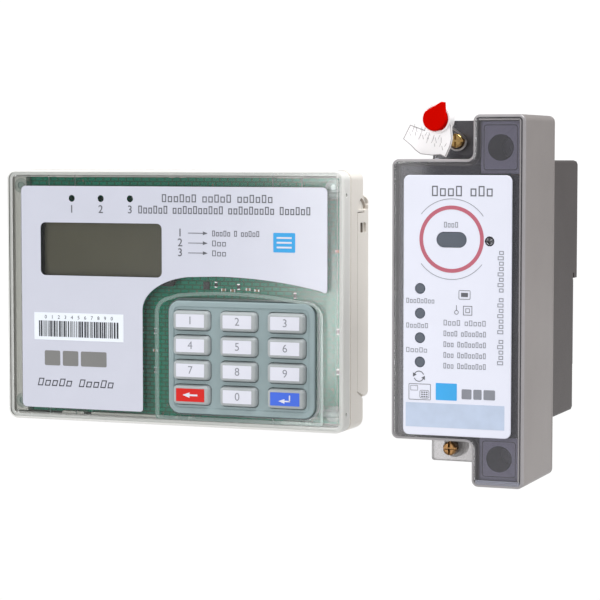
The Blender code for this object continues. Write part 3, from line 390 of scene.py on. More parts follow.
def grain_nodes(tree, shader, colour, spread, spot, rough, rough_spread, bump, bump_size):
    """Cloudy colour, uneven gloss and a moulded skin, all from noise in the object's own space."""
    place = add_node(tree, "TexCoord")
    clouds = add_node(tree, "TexNoise", {"Scale": 1.0 / (spot * MM), "Detail": 3.0})
    ramp = add_node(tree, "ValToRGB")
    for stop, position, change in zip(ramp.color_ramp.elements, (0.3, 0.7), (-spread, spread)):
        stop.position = position
        stop.color = (*[min(1.0, c * (1 + change)) for c in colour], 1)
    skin = add_node(tree, "TexNoise", {"Scale": 1.0 / (bump_size * MM), "Detail": 2.0})
    gloss = {"To Min": max(0.02, rough - rough_spread), "To Max": min(1.0, rough + rough_spread)}
    span = add_node(tree, "MapRange", gloss)
    relief = add_node(tree, "Bump", {"Strength": bump, "Distance": 0.05 * MM})
    link(tree, (place, "Object", clouds, "Vector"), (clouds, "Fac", ramp, "Fac"),
         (ramp, "Color", shader, "Base Color"), (place, "Object", skin, "Vector"),
         (skin, "Fac", span, "Value"), (span, "Result", shader, "Roughness"),
         (skin, "Fac", relief, "Height"), (relief, "Normal", shader, "Normal"))


def plastic(colour, rough, *, spread=0.04, spot=14.0, rough_spread=0.06, bump=0.12, bump_size=0.35,
            metallic=0.0, coat=0.0, level=0.5, soft=0.0):
    """An opaque finish: moulded plastic, print, lacquer or metal."""
    mat, tree, shader = new_finish({
        "Metallic": metallic, "Coat Weight": coat, "Coat Roughness": 0.08, "Specular IOR Level": level,
        "Subsurface Weight": soft, "Subsurface Scale": 1.2 * MM, "Subsurface Radius": (1.0, 1.0, 1.0)})
    grain_nodes(tree, shader, colour, spread, spot, rough, rough_spread, bump, bump_size)
    return mat


def metal(colour, rough):
    """Turned or rolled metal with fine scratches."""
    return plastic(colour, rough, spread=0.08, spot=2.5, rough_spread=0.12, bump=0.25, bump_size=0.12,
                   metallic=1.0)


def ink(colour, rough=0.5, spread=0.05):
    """Flat printing ink."""
    return plastic(colour, rough, spread=spread, bump=0.02)


def see_through(colour, tint, facing, grazing, *, power=1.0, gloss=0.08, bend=1.5, glow=0.0):
    """A clear or smoked finish: body colour grows from facing to grazing, under a clear gloss; glow is
    painted light, making the finish shine though it is no lamp.
    """
    mat, tree, shader = new_finish({"Specular IOR Level": 0.0, "Emission Color": (*colour, 1),
                                    "Emission Strength": glow})
    grain_nodes(tree, shader, colour, 0.02, 40.0, 0.3, 0.03, 0.0, 1.5)
    through = add_node(tree, "BsdfTransparent", {"Color": (*tint, 1)})
    edge = add_node(tree, "LayerWeight", {"Blend": 0.5})
    curve = add_node(tree, "Math", {1: power}, operation="POWER")
    share = add_node(tree, "MapRange", {"To Min": facing, "To Max": grazing})
    body = add_node(tree, "MixShader")
    shine = add_node(tree, "BsdfGlossy", {"Roughness": gloss})
    fresnel = add_node(tree, "Fresnel", {"IOR": bend})
    surface = add_node(tree, "MixShader")
    link(tree, (edge, "Facing", curve, 0), (curve, "Value", share, "Value"), (share, "Result", body, "Fac"),
         (through, "BSDF", body, 1), (shader, "BSDF", body, 2), (fresnel, "Fac", surface, "Fac"),
         (body, "Shader", surface, 1), (shine, "BSDF", surface, 2),
         (surface, "Shader", tree.nodes["Material Output"], "Surface"))
    return mat


def board_finish():
    """Solder mask with copper tracks shining through, vias and a slight sheen."""
    mat = plastic((0.006, 0.370, 0.220), 0.3, spread=0.12, spot=18.0, bump=0.05, level=0.08)
    tree = mat.node_tree
    shader, place = tree.nodes["Principled BSDF"], tree.nodes["Texture Coordinate"]
    mask = shader.inputs["Base Color"].links[0].from_node
    turn = add_node(tree, "Mapping", {"Rotation": (math.radians(90), 0, 0)})
    black, white = (0, 0, 0, 1), (1, 1, 1, 1)
    bricks = add_node(tree, "TexBrick", {
        "Scale": 1.0 / (7.0 * MM), "Mortar Size": 0.045, "Mortar Smooth": 0.3, "Color1": black,
        "Color2": black, "Mortar": white})
    dots = add_node(tree, "TexVoronoi", {"Scale": 1.0 / (5.5 * MM)})
    via = add_node(tree, "Math", {1: 0.1}, operation="LESS_THAN")
    tracks = add_node(tree, "Mix", {"B": (0.02, 0.20, 0.115, 1)}, data_type="RGBA")
    pads = add_node(tree, "Mix", {"B": (0.16, 0.26, 0.18, 1)}, data_type="RGBA")
    link(tree, (place, "Object", turn, "Vector"), (turn, "Vector", bricks, "Vector"),
         (place, "Object", dots, "Vector"), (dots, "Distance", via, 0), (bricks, "Color", tracks, "Factor"),
         (mask, "Color", tracks, "A"), (tracks, "Result", pads, "A"), (via, "Value", pads, "Factor"),
         (pads, "Result", shader, "Base Color"))
    return mat


FINISHES = {
    "beige": plastic((0.84, 0.80, 0.745), 0.42, bump=0.1, spread=0.02),
    # Darker beige: painted shade for the insides of the bracket's recesses and snap slots.
    "beige_painted_shade": plastic((0.30, 0.26, 0.22), 0.6, bump=0.0, spread=0.02, level=0.1),
    "clear": see_through((0.80, 0.86, 0.84), (0.965, 0.98, 0.975), 0.006, 0.4, power=2.2, gloss=0.15),
    "clear_rim": see_through((0.52, 0.68, 0.64), (0.94, 0.97, 0.96), 0.2, 0.75, gloss=0.15),
    # The milky ring in the keypad cover's rim glows a little: painted light.
    "clear_ring": see_through((0.86, 0.855, 0.835), (0.93, 0.96, 0.95), 0.9, 0.95, bend=1.2, glow=0.15),
    "clear_edge": see_through((0.83, 0.83, 0.805), (0.93, 0.96, 0.95), 0.9, 0.95, bend=1.2),
    "label_plate": plastic((0.755, 0.77, 0.88), 0.32, spread=0.012, bump=0.06, bump_size=0.5),
    "label": plastic((0.625, 0.64, 0.735), 0.19, rough_spread=0.01, spread=0.012, bump=0.06, bump_size=0.5),
    "sticker": plastic((0.86, 0.91, 0.98), 0.3, spread=0.01, bump=0.05),
    "ink": ink((0.03, 0.032, 0.045), spread=0.08),
    "ink_grey": ink((0.11, 0.115, 0.135)),
    "ink_mid": ink((0.21, 0.21, 0.205)),
    "ink_soft": ink((0.24, 0.25, 0.29)),
    "ink_tag": ink((0.46, 0.44, 0.45), spread=0.1),
    "ink_blue": ink((0.012, 0.37, 0.80), 0.4),
    "ink_rose": ink((0.50, 0.10, 0.155), 0.4),
    "ink_strip": plastic((0.49, 0.575, 0.735), 0.35, spread=0.05, spot=6.0, bump=0.05),
    "ink_white": plastic((0.73, 0.74, 0.83), 0.4, spread=0.015, bump=0.03),
    "board": board_finish(),
    "lcd_frame": plastic((0.022, 0.022, 0.018), 0.5),
    "lcd_glass": plastic((0.165, 0.144, 0.090), 0.25, spread=0.07, spot=22.0, bump=0.0, rough_spread=0.0,
                         level=0.3),
    "keymat": plastic((0.315, 0.405, 0.42), 0.5, spread=0.05, soft=0.25, bump=0.05),
    "key_white": plastic((0.42, 0.45, 0.46), 0.42, spread=0.03, soft=0.2, bump=0.05),
    "key_red_print": plastic((0.68, 0.012, 0.008), 0.4, level=0.2, spread=0.03, bump=0.03),
    "key_blue_print": plastic((0.06, 0.155, 0.76), 0.4, level=0.2, spread=0.03, bump=0.03),
    "lamp": plastic((0.006, 0.085, 0.05), 0.15, coat=0.5, bump=0.02),
    "chip": plastic((0.02, 0.02, 0.022), 0.45),
    "terminal_green": plastic((0.05, 0.28, 0.10), 0.45),
    "ceramic": plastic((0.48, 0.25, 0.09), 0.4),
    "tin": metal((0.75, 0.75, 0.76), 0.35),
    "copper": metal((0.80, 0.42, 0.25), 0.3),
    "core": plastic((0.12, 0.115, 0.11), 0.5, metallic=0.5),
    "steel": metal((0.62, 0.62, 0.64), 0.3),
    "steel_dark": metal((0.16, 0.16, 0.17), 0.25),
    "brass": metal((0.56, 0.37, 0.14), 0.24),
    # A darker copy of the brass for the bottom seal screw: painted shade.
    "brass_painted_shade": metal((0.22, 0.12, 0.05), 0.3),
    "base": plastic((0.084, 0.074, 0.073), 0.42, spread=0.05, bump=0.22, bump_size=0.5),
    "smoked": see_through((0.45, 0.445, 0.48), (0.74, 0.73, 0.78), 0.11, 0.6, power=1.6, gloss=0.05),
    "smoked_side": plastic((0.275, 0.25, 0.243), 0.34, spread=0.05, spot=30.0, bump=0.04, coat=0.15),
    "smoked_rim": plastic((0.33, 0.315, 0.325), 0.25, spread=0.05, spot=12.0, bump=0.02, coat=0.3),
    "smoked_ledge": see_through((0.62, 0.60, 0.60), (0.86, 0.85, 0.86), 0.3, 0.8, gloss=0.1),
    "carrier": plastic((0.022, 0.022, 0.035), 0.45),
    "block": plastic((0.88, 0.87, 1.0), 0.45, bump=0.0),
    "window": plastic((0.05, 0.068, 0.10), 0.3, spread=0.06, bump=0.08),
    "relay": plastic((0.03, 0.10, 0.28), 0.4),
    # The seal's clear tag and cup glow a little: painted light where the tab shades them.
    "seal_clear": see_through((0.98, 0.97, 0.98), (0.97, 0.97, 0.98), 0.86, 0.95, bend=1.3, glow=0.2),
    "seal_red": plastic((0.60, 0.002, 0.0), 0.5, spread=0.03, level=0.0, bump=0.04, bump_size=1.0)}
for FINISH_NAME, FINISH in FINISHES.items():
    FINISH.name = FINISH_NAME


# ---- Printed marks: thin solids on a front face -------------------------------------------------

class Print:
    """Collects flat marks at one level and turns them into a piece."""

    def __init__(self, face):
        self.shape = bmesh.new()
        self.back = face - PRINT_GAP
        self.front = face - PRINT_GAP - PRINT_T

    def patch(self, outline):
        """A filled mark."""
        add_prism(self.shape, outline, self.front, self.back)

    def bar(self, low_u, low_v, high_u, high_v):
        """A filled rectangle."""
        self.patch(rect(low_u, low_v, high_u, high_v))

    def frame(self, outline, width):
        """A closed line of this width."""
        add_band(self.shape, outline, inset(outline, width), self.front, self.back)

    def curve(self, u, v, radius, width, start, end, steps=48):
        """Part of a ring."""
        outer, inner = (arc(u, v, size, size, start, end, steps) for size in (radius, radius - width))
        add_band(self.shape, outer, inner, self.front, self.back, closed=False)

    def ring(self, u, v, radius, width, sides=96):
        """A whole ring."""
        self.frame(circle(u, v, radius, sides), width)

    def arrow(self, start_u, end_u, v, width, head):
        """A level arrow; it points from start to end."""
        way = 1 if end_u > start_u else -1
        neck = end_u - way * head * 1.4
        half = width / 2
        low, high = sorted((start_u, neck))
        self.bar(low, v - half, high, v + half)
        tip = [(neck, v - head / 2), (end_u, v), (neck, v + head / 2)]
        self.patch(tip if way > 0 else tip[::-1])

    def words(self, low, high, middle, height, lengths, slant=0.0, upright=False):
        """A line of plain hollow boxes in groups, where the real object has words; it can read upwards."""
        pitch = (high - low) / (sum(lengths) + 0.8 * (len(lengths) - 1))
        width = pitch * 0.72
        stroke = min(0.42, max(0.2, height * 0.13))
        start, number = low, 0
        for length in lengths:
            for _sign in range(length):
                tall = height if number % 5 in (0, 3) else height * 0.76
                right, top = width - stroke, tall - stroke
                for side in ((0.0, 0.0, stroke, tall), (right, 0.0, width, tall),
                             (stroke, 0.0, right, stroke), (stroke, top, right, tall)):
                    if upright:
                        place = [(middle + height / 2 - up, start + along) for along, up in rect(*side)]
                    else:
                        place = [(start + along + slant * up, middle - height / 2 + up)
                                 for along, up in rect(*side)]
                    self.patch(place)
                start += pitch
                number += 1
            start += pitch * 0.8

    def digit(self, text, u, v, height, spread=0.0):
        """A number, centred, with strokes made heavier by spread."""
        curve = bpy.data.curves.new("digit", "FONT")
        curve.body = text
        curve.size = height * MM * 1.38
        curve.align_x = "CENTER"
        curve.align_y = "CENTER"
        curve.extrude = PRINT_T / 2 * MM
        curve.offset = spread * MM
        holder = linked("digit", curve)
        mesh = evaluated(holder)
        centre = Vector((u, (self.front + self.back) / 2, v)) * MM
        mesh.transform(Matrix.Translation(centre) @ Matrix.Rotation(math.pi / 2, 4, "X"))
        self.shape.from_mesh(mesh)
        bpy.data.objects.remove(holder)

    def done(self, name, paint, body, slot):
        """The finished piece."""
        return dress(to_object(name, self.shape), paint, body, slot)


# ---- Keypad unit --------------------------------------------------------------------------------

def keypad_outline():
    """Front outline of both keypad shells."""
    return pad(COVER_LOW.x, COVER_LOW.z, COVER_HIGH.x, COVER_HIGH.z, CASE_R, 10)


def label_outline():
    """The label: a full-width top, a left column, and an arched cut-out over the keys."""
    left, right, low, high = LABEL_LOW.x, LABEL_HIGH.x, LABEL_LOW.z, LABEL_HIGH.z
    column, spring = -12.6, -5.2
    shoulder = arc(12.0, spring, 12.0 - column, 14.2, 180, 100, 24)
    crown_radius, crown_x, crown_end = 205.0, 20.5, 65.0
    crown_z = 9.25 - crown_radius
    crown = []
    for step in range(15):
        x = crown_x + (crown_end - crown_x) * step / 14
        crown.append((x, crown_z + math.sqrt(crown_radius ** 2 - (x - crown_x) ** 2)))
    tip = [(66.2, 3.9), (66.9, 3.6), (67.5, 3.7), (67.9, 4.1), (68.1, 4.9)]
    top_right = corner(right, high, 2.0, 0, 8)
    top_left = corner(left, high, 2.0, 90, 8)
    low_left = corner(left, low, 2.0, 180, 8)
    foot = corner(column, low, 1.2, 270, 6)
    return low_left + foot + shoulder + crown + tip + top_right + top_left


def bay_outline():
    """The stepped recess round the keys, arched at the top."""
    left, right, low = -7.0, 66.4, -49.4
    left_shoulder = arc(left + 8.0, -6.0, 8.0, 7.0, 180, 100, 16)
    crown = arc(24.0, -200.0, 200.0, 203.2, 96, 83.5, 20)
    right_shoulder = arc(right - 8.0, -7.0, 8.0, 7.6, 62, 0, 12)
    foot = corner(left, low, 1.5, 180, 6) + corner(right, low, 1.5, 270, 6)
    return foot + (left_shoulder + crown + right_shoulder)[::-1]


def front_cover():
    """Clear tray: rounded rim with a fine groove, pockets for label and keys, and seal wire holes."""
    outer = keypad_outline()
    inner = inset(outer, SHELL_WALL)
    groove_in, groove_out, groove_deep = 2.5, 2.9, 0.25
    floor = KEYPAD_FRONT + groove_deep
    cover = loft("keypad_cover_shell", [
        (COVER_INSIDE, inset(inner, 0.6)), (COVER_INSIDE + 0.6, inner), (COVER_SEAM, inner),
        (COVER_SEAM, outer), *fillet(KEYPAD_FRONT, outer, 1.0),
        (KEYPAD_FRONT, inset(outer, groove_in)), (floor, inset(outer, groove_in + 0.1)),
        (floor, inset(outer, groove_out - 0.1)), (KEYPAD_FRONT, inset(outer, groove_out))])
    ahead = KEYPAD_FRONT - 1.0
    opening = pad(*KEYMAT, KEYMAT_R, 10)
    cut(cover, prism("label_recess", inset(label_outline(), -LABEL_GAP), ahead, KEYPAD_FRONT + 0.5),
        prism("key_bay", bay_outline(), ahead, KEYPAD_FRONT + 0.8),
        prism("key_opening", inset(opening, -0.5), ahead, COVER_INSIDE + 1.0),
        *[rod("seal_wire_hole", WIRE_HOLE_Y, z, 0.9, 64.0, 76.0, axis="x", sides=24) for z in WIRE_HOLE_ZS])
    tidy_mesh(cover)
    wear(cover, "clear", "clear_edge")
    wall_zone = 2.45
    for face in cover.data.polygons:
        middle = face.center / MM
        in_wall = abs(middle.x) > COVER_HIGH.x - wall_zone or abs(middle.z) > COVER_HIGH.z - wall_zone
        step_side = abs(face.normal.y) < 0.5 and middle.y < COVER_INSIDE + 0.5
        face.material_index = 1 if in_wall or step_side else 0
    smooth(cover, 28)
    settle(cover, "keypad_housing", "clear_plastic", "keypad_front_cover")


def cover_details():
    """Ribs, bosses, wire tunnels and the key bay's step behind the clear front, and the milky ring in its
    rim, whose finish glows a little as painted light.
    """
    shape = bmesh.new()
    top, low = COVER_HIGH.z - SHELL_WALL, COVER_LOW.z + SHELL_WALL
    for x in (-56.5, -44.4, 43.9, 56.3):
        for end, inside in ((top, LABEL_HIGH.z - 0.6), (low, LABEL_LOW.z + 0.6)):
            bottom, head = sorted((end, inside))
            add_prism(shape, rect(x - 0.2, bottom, x + 0.2, head), COVER_INSIDE, COVER_INSIDE + 0.9)
    for x, z in BOSSES:
        add_band(shape, circle(x, z, 3.0), circle(x, z, 1.45), COVER_INSIDE, BOARD_FRONT - 0.3)
        add_prism(shape, circle(x, z, 1.5), COVER_INSIDE, COVER_INSIDE + 0.3)
    for z in WIRE_HOLE_ZS:
        add_prism(shape, circle(WIRE_HOLE_Y, z, 1.5, 32), 65.0, COVER_HIGH.x - SHELL_WALL, "x")
    rim = bay_outline()
    add_band(shape, inset(rim, 0.05), inset(rim, 1.5), KEYPAD_FRONT + 0.05, KEYPAD_FRONT + 0.8)
    details = to_object("keypad_cover_details", shape)
    smooth(details, 35)
    dress(details, "clear_rim", "keypad_housing", "clear_plastic")
    # The milky ring inside the cover's rim, with a finish that glows a little: painted light.
    edge = bmesh.new()
    outer = keypad_outline()
    add_band(edge, inset(outer, 0.9), inset(outer, SHELL_WALL), KEYPAD_FRONT + 0.9, KEYPAD_FRONT + 1.2)
    dress(to_object("keypad_cover_edge", edge), "clear_ring", "keypad_housing", "clear_plastic")


def label():
    """Printed label with the display window and three lamp holes."""
    piece = prism("keypad_label_sheet", label_outline(), LABEL_FRONT, LABEL_FRONT + LABEL_T)
    clear = (LABEL_FRONT - 1.0, LABEL_FRONT + 1.0)
    cut(piece, prism("display_window", pad(*LCD_WINDOW, 2.2), *clear),
        *[rod("lamp_hole", x, LED_Z, 1.4, *clear) for x in LED_XS])
    dress(soften(piece, 0.05, 1), "label", "keypad_housing", "white_label", "keypad_label")


def label_print():
    """Numerals, arrows, dashes, code bars and plain marks on the keypad's label."""
    dark, grey, blue, sticker, mark = (Print(LABEL_FRONT) for _ in range(5))
    code, white = Print(LABEL_FRONT - PRINT_T), Print(LABEL_FRONT - PRINT_T)
    for number, x in enumerate(LED_XS, start=1):
        grey.digit(str(number), x, 35.7, 3.3, 0.02)
    for number, z in enumerate((26.6, 22.6, 18.6), start=1):
        grey.digit(str(number), 4.4, z, 3.3, 0.02)
        grey.arrow(8.0, 16.6, z, 0.28, 1.5)
    for low, high, z, height, lengths in (
            (-3.6, 45.5, 40.6, 3.2, (6, 5, 6)), (-14.2, 61.5, 35.9, 3.2, (6, 10, 9, 6)),
            (18.6, 39.5, 26.6, 2.3, (5, 1, 5)), (18.6, 25.2, 22.6, 2.3, (3,)), (18.6, 25.2, 18.6, 2.3, (3,))):
        grey.words(low, high, z, height, lengths)
    blue.patch(pad(45.1, 19.4, 54.5, 27.2, 0.4, 4))
    for z in (21.4, 23.3, 25.2):
        white.bar(46.6, z - 0.35, 53.0, z + 0.35)
    (left, low), (right, high) = (-62.4, -18.6), (-21.2, -7.2)
    sticker.bar(left, low, right, high)
    widths = random.Random(7)
    x = left + 2.2
    while x < right - 2.6:
        width = widths.choice((0.3, 0.3, 0.55, 0.8))
        code.bar(x, low + 1.4, x + width, low + 8.0)
        x += width + widths.choice((0.28, 0.28, 0.5))
    for place in range(11):
        code.digit(str(place % 10), left + 5.4 + place * 3.05, high - 1.9, 1.5)
    for start, end in ((-57.6, -50.4), (-49.2, -42.0), (-40.8, -29.0)):
        mark.patch(pad(start, -29.2, end, -23.0, 0.6, 4))
    dark.words(-61.0, -25.4, -36.2, 3.2, (5, 5), slant=0.25)
    for marks, name, paint in (
            (sticker, "code_sticker", "sticker"), (code, "code_bars", "ink"), (mark, "maker_mark", "ink_mid"),
            (dark, "print_dark", "ink"), (grey, "print_grey", "ink_grey"), (blue, "print_blue", "ink_blue"),
            (white, "print_white", "ink_white")):
        marks.done("keypad_" + name, paint, "keypad_housing", "white_label")


def wing_outline(grow, drop):
    """Side wing of the bracket in Y and Z; drop lowers the rear end of its slanted lower edge."""
    joined = CASE_BACK + 1.0
    return [(WING_FRONT - grow, -36.6 - grow), (joined, -39.2 - grow - drop), (joined, 35.0 + grow),
            (WING_FRONT - grow, 35.0 + grow)]


def thumb_recess(side):
    """Arched finger recess in a side wall, shared by the case and the bracket."""
    scoop = arc(RECESS_Y, RECESS_Z, 5.8, 5.0, 0, 180, 24)
    face = side * COVER_HIGH.x
    return prism("thumb_recess", scoop, face - side * RECESS_DEPTH, face + side, axis="x")


def rear_case():
    """Beige tub with a stepped front lip, screw posts, side recesses and the cable opening."""
    outer = keypad_outline()
    inner = inset(outer, SHELL_WALL)
    floor = CASE_BACK - SHELL_WALL
    half_w, half_h = COVER_HIGH.x - 5.0, COVER_HIGH.z - SHELL_WALL - 1.0
    deep = pad(-half_w, -half_h, half_w, half_h, 2.0, 10)
    step_y = WING_FRONT - 1.0
    lip, lip_y = inset(outer, 0.3), CASE_FRONT + 1.1
    case = loft("keypad_case_shell", [
        (floor, deep), (step_y, deep), (step_y, inner), (CASE_FRONT, inner), (CASE_FRONT, lip), (lip_y, lip),
        (lip_y, outer), *fillet(CASE_BACK, outer, 1.6, way=-1)])
    tools = []
    for x, z in BOSSES:
        fuse(case, rod("post", x, z, 4.4, BOARD_HIGH.y + 0.3, floor + 1.0))
        tools.append(rod("screw_hole", x, z, 1.55, BOARD_HIGH.y - 1.0, CASE_BACK + 1.0, sides=24))
        tools.append(rod("screw_head_seat", x, z, 3.3, CASE_BACK - 2.6, CASE_BACK + 1.0))
    for side in (-1, 1):
        face = side * COVER_HIGH.x
        wing_floor = face - side * (WING_T + 0.3)
        tools.append(prism("wing_recess", wing_outline(0.4, 1.5), wing_floor, face + side, axis="x"))
        tools.append(thumb_recess(side))
    tools.append(block("cable_opening", (-14.0, floor - 1.0, -26.0), (14.0, CASE_BACK + 1.0, -12.0)))
    cut(case, *tools)
    dress(soften(case, 0.2), "beige", "keypad_housing", "beige_plastic", "keypad_rear_case")


def case_snaps():
    """Beige snap tabs along the top and bottom walls and the strip inside the left wall."""
    shape = bmesh.new()
    clearance = 0.1
    top, low = COVER_HIGH.z - SHELL_WALL - clearance, COVER_LOW.z + SHELL_WALL + clearance
    front, root, back = COVER_INSIDE + 0.4, BOARD_FRONT - 0.3, CASE_FRONT + 1.0
    top_spans = ((-53.0, -42.5), (-1.8, -0.2), (3.0, 4.6), (46.0, 57.0))
    low_spans = ((-51.0, -41.0), (-37.5, -6.0), (0.6, 2.0), (6.6, 8.0), (47.5, 59.5))
    for wall, way, head_depth, spans in ((top, 1, 0.8, top_spans), (low, -1, 1.4, low_spans)):
        for left, right in spans:
            for near, far, depth in ((front, root, head_depth), (root, back, 0.6)):
                bottom, head = sorted((wall, wall - way * depth))
                add_prism(shape, rect(left, bottom, right, head), near, far)
    left, inside, end = COVER_LOW.x + SHELL_WALL + clearance, LABEL_LOW.x + 1.0, 3.2
    add_prism(shape, rect(left, COVER_LOW.z + end, inside, COVER_HIGH.z - end), front, root)
    snaps = soften(to_object("keypad_case_snaps", shape), 0.12)
    dress(snaps, "beige", "keypad_housing", "beige_plastic")


def keymat():
    """Silicone mat with a soft raised border and a hole for each key."""
    slab = pad(*KEYMAT, KEYMAT_R, 10)
    flange = inset(slab, -0.9)
    flange_front = COVER_INSIDE + 0.3
    border, sunk, gap = 2.0, 0.45, 0.3
    piece = loft("keymat_sheet", [
        (MAT_HIGH.y, flange), (flange_front, flange), (flange_front, slab), *fillet(MAT_LOW.y, slab, 0.6),
        (MAT_LOW.y, inset(slab, border)), (MAT_LOW.y + 0.15, inset(slab, border + 0.3)),
        (MAT_LOW.y + sunk, inset(slab, border + 0.6))])
    holes = []
    for name in KEY_NAMES:
        low, high = box(name)
        hole = pad(low.x - gap, low.z - gap, high.x + gap, high.z + gap, 2.0, 6)
        holes.append(prism("key_hole", hole, MAT_LOW.y - 1.0, MAT_HIGH.y + 1.0))
    cut(piece, *holes)
    dress(soften(piece, 0.25, 3), "keymat", "keypad_housing", "keymat_silicone", "keymat")


def dome_turns():
    """The angles of a dome's rings above its foot."""
    return [math.radians(15 * i) for i in range(1, 7)]


def keys():
    """Twelve crowned caps with their printed fields and numerals."""
    slots = {"key_backspace": "key_red", "key_enter": "key_blue"}
    fields = {"key_red": "key_red_print", "key_blue": "key_blue_print"}
    for name in KEY_NAMES:
        low, high = box(name)
        x, z, front = (low.x + high.x) / 2, (low.z + high.z) / 2, low.y
        body = pad(low.x, low.z, high.x, high.z, 1.7, 8)
        rings = [(high.y, body), (front + 2.2, body), (front + 1.7, inset(body, 0.12))]
        rings += [(front + 0.08 + 1.2 * (1 - math.sin(t)), inset(body, 0.22 + 1.15 * (1 - math.cos(t))))
                  for t in dome_turns()]
        cap = loft(name + "_cap", rings + [(front, inset(body, 1.75))])
        smooth(cap, 50)
        slot = slots.get(name, "key_silicone")
        dress(cap, "key_white", name, slot, name)
        field, sign = Print(front), Print(front - PRINT_T)
        field.patch(pad(x - 6.3, z - 2.65, x + 6.2, z + 2.65, 0.25, 3))
        field.done(name + "_field", fields.get(slot, "ink_white"), name, slot)
        if name == "key_backspace":
            sign.arrow(x + 3.2, x - 3.4, z, 0.7, 2.2)
        elif name == "key_enter":
            sign.arrow(x + 2.3, x - 2.8, z - 0.8, 0.55, 1.9)
            sign.bar(x + 1.75, z - 0.8, x + 2.3, z + 1.6)
        else:
            sign.digit(name[-1], x, z, 3.3, -0.02)
        sign.done(name + "_sign", "ink_soft" if slot == "key_silicone" else "ink_white", name, slot)


def lamps_and_display():
    """Display glass, its frame and the three lamp domes."""
    panel = soften(copy_of("lcd_glass", "display_panel"), 0.15)
    dress(panel, "lcd_glass", "keypad_housing", "display_glass", "lcd_glass")
    low, high = box("lcd_frame")
    front, back = COVER_INSIDE + 0.05, LCD_LOW.y - 0.05
    bezel = prism("display_bezel", pad(low.x, low.z, high.x, high.z, 1.5, 6), front, back)
    cut(bezel, prism("aperture", pad(*LCD_WINDOW, 1.6), COVER_INSIDE - 1.0, LCD_LOW.y + 1.0))
    dress(soften(bezel, 0.1), "lcd_frame", "keypad_housing", "display_frame", "lcd_frame")
    for number, x in enumerate(LED_XS, start=1):
        node = "keypad_led_%d" % number
        low, high = box(node)
        foot = circle(x, LED_Z, LED_R, 32)
        dome = [(high.y, foot), (low.y + LED_R, foot)]
        dome += [(low.y + LED_R - LED_R * math.sin(t), circle(x, LED_Z, LED_R * math.cos(t) + 0.01, 32))
                 for t in dome_turns()]
        lens = loft("lamp_dome_%d" % number, dome)
        lens.data.shade_smooth()
        dress(lens, "lamp", "keypad_housing", "lamp_green", node)


def board_parts():
    """Small parts on the keypad board where the clear cover shows it."""
    chips, tins, ceramics = bmesh.new(), bmesh.new(), bmesh.new()

    def small_part(shape, x, z, wide, tall, height):
        outline = rect(x - wide / 2, z - tall / 2, x + wide / 2, z + tall / 2)
        add_prism(shape, outline, BOARD_FRONT, BOARD_FRONT - height)

    for x, z in ((17.6, 5.6), (27.5, 4.9), (52.0, 1.9), (-9.6, -14.0), (-9.6, -30.0), (70.3, -12.0),
                 (70.3, -28.0)):
        small_part(chips, x, z, 1.1, 1.5, 0.5)
        for end in (-0.95, 0.95):
            small_part(tins, x, z + end, 1.1, 0.45, 0.45)
    for x, z in ((21.0, 3.6), (25.0, 3.4), (31.8, 4.0), (35.6, 3.6), (-9.6, -22.0), (70.3, 20.0)):
        small_part(ceramics, x, z, 1.2, 1.0, 0.7)
        for end in (-0.8, 0.8):
            small_part(tins, x + end, z, 0.4, 1.0, 0.6)
    small_part(chips, 13.4, 5.2, 2.4, 3.0, 1.0)
    for name, shape, paint, slot in (("board_chips", chips, "chip", "black_component"),
                                     ("board_solder", tins, "tin", "steel"),
                                     ("board_ceramics", ceramics, "ceramic", "copper")):
        dress(to_object(name, shape), paint, "keypad_housing", slot)


# ---- Measuring unit -----------------------------------------------------------------------------

def meter_corners():
    """Front outline of the cover: the main body with a tab at its top right and bottom right."""
    return [(METER_L, MAIN_LOW), (TAB_L, MAIN_LOW), (TAB_L, TAB_LOW), (METER_R, TAB_LOW),
            (METER_R, TAB_HIGH), (TAB_L, TAB_HIGH), (TAB_L, MAIN_HIGH), (METER_L, MAIN_HIGH)]


def meter_cover():
    """Smoked shell: satin walls, a see-through front, ledges, cable slots and fine grooves round the front
    and the sides.
    """
    outer = rounded(meter_corners(), COVER_R, 8)
    inner = inset(outer, COVER_WALL)
    groove = inset(outer, 0.15)
    shell = loft("meter_cover_shell", [
        (METER_INSIDE, inset(inner, 0.5)), (METER_INSIDE + 0.5, inner), (METER_BACK, inner),
        (METER_BACK, outer), (METER_BACK - 1.2, outer), (METER_BACK - 1.35, groove),
        (METER_BACK - 1.6, groove), (METER_BACK - 1.75, outer), *fillet(METER_FRONT, outer, 1.0),
        (METER_FRONT, inset(outer, 1.5)), (METER_FRONT + 0.2, inset(outer, 1.6)),
        (METER_FRONT + 0.2, inset(outer, 1.95)), (METER_FRONT, inset(outer, 2.05))])
    overlap = 1.2
    for low, high in ((MAIN_HIGH - overlap, LEDGE_HIGH), (LEDGE_LOW, MAIN_LOW + overlap)):
        fuse(shell, prism("ledge", pad(LEDGE_L, low, TAB_L + overlap, high, 1.0, 6), LEDGE_FRONT, LEDGE_BACK))
    tools = [rod("seal_hole", *TOP_SCREW, 1.9, LEDGE_FRONT - 1, LEDGE_BACK + 1),
             rod("screw_hole", *BOTTOM_SCREW, 1.9, LEDGE_FRONT - 1, LEDGE_BACK + 1),
             rod("label_screw_hole", *LABEL_SCREW, 1.1, METER_FRONT - 1, METER_INSIDE + 1, sides=24)]
    slot = arc(TAB_MID, -51.5, BUSHING_R, BUSHING_R, 0, -180, 24)
    slot = [(TAB_MID + BUSHING_R, METER_BACK + 1.0), *slot, (TAB_MID - BUSHING_R, METER_BACK + 1.0)]
    through = COVER_WALL + 1.0
    for low, high in ((TAB_HIGH - through, TAB_HIGH + 1.0), (TAB_LOW - 1.0, TAB_LOW + through)):
        tools.append(prism("cable_slot", slot, low, high, axis="z"))
    cut(shell, *tools)
    tidy_mesh(shell)
    wear(shell, "smoked", "smoked_side", "smoked_rim", "smoked_ledge")
    for face in shell.data.polygons:
        face.material_index = meter_cover_finish(face)
    smooth(shell, 28)
    settle(shell, "fixed_parts", "smoked_plastic", "meter_cover")


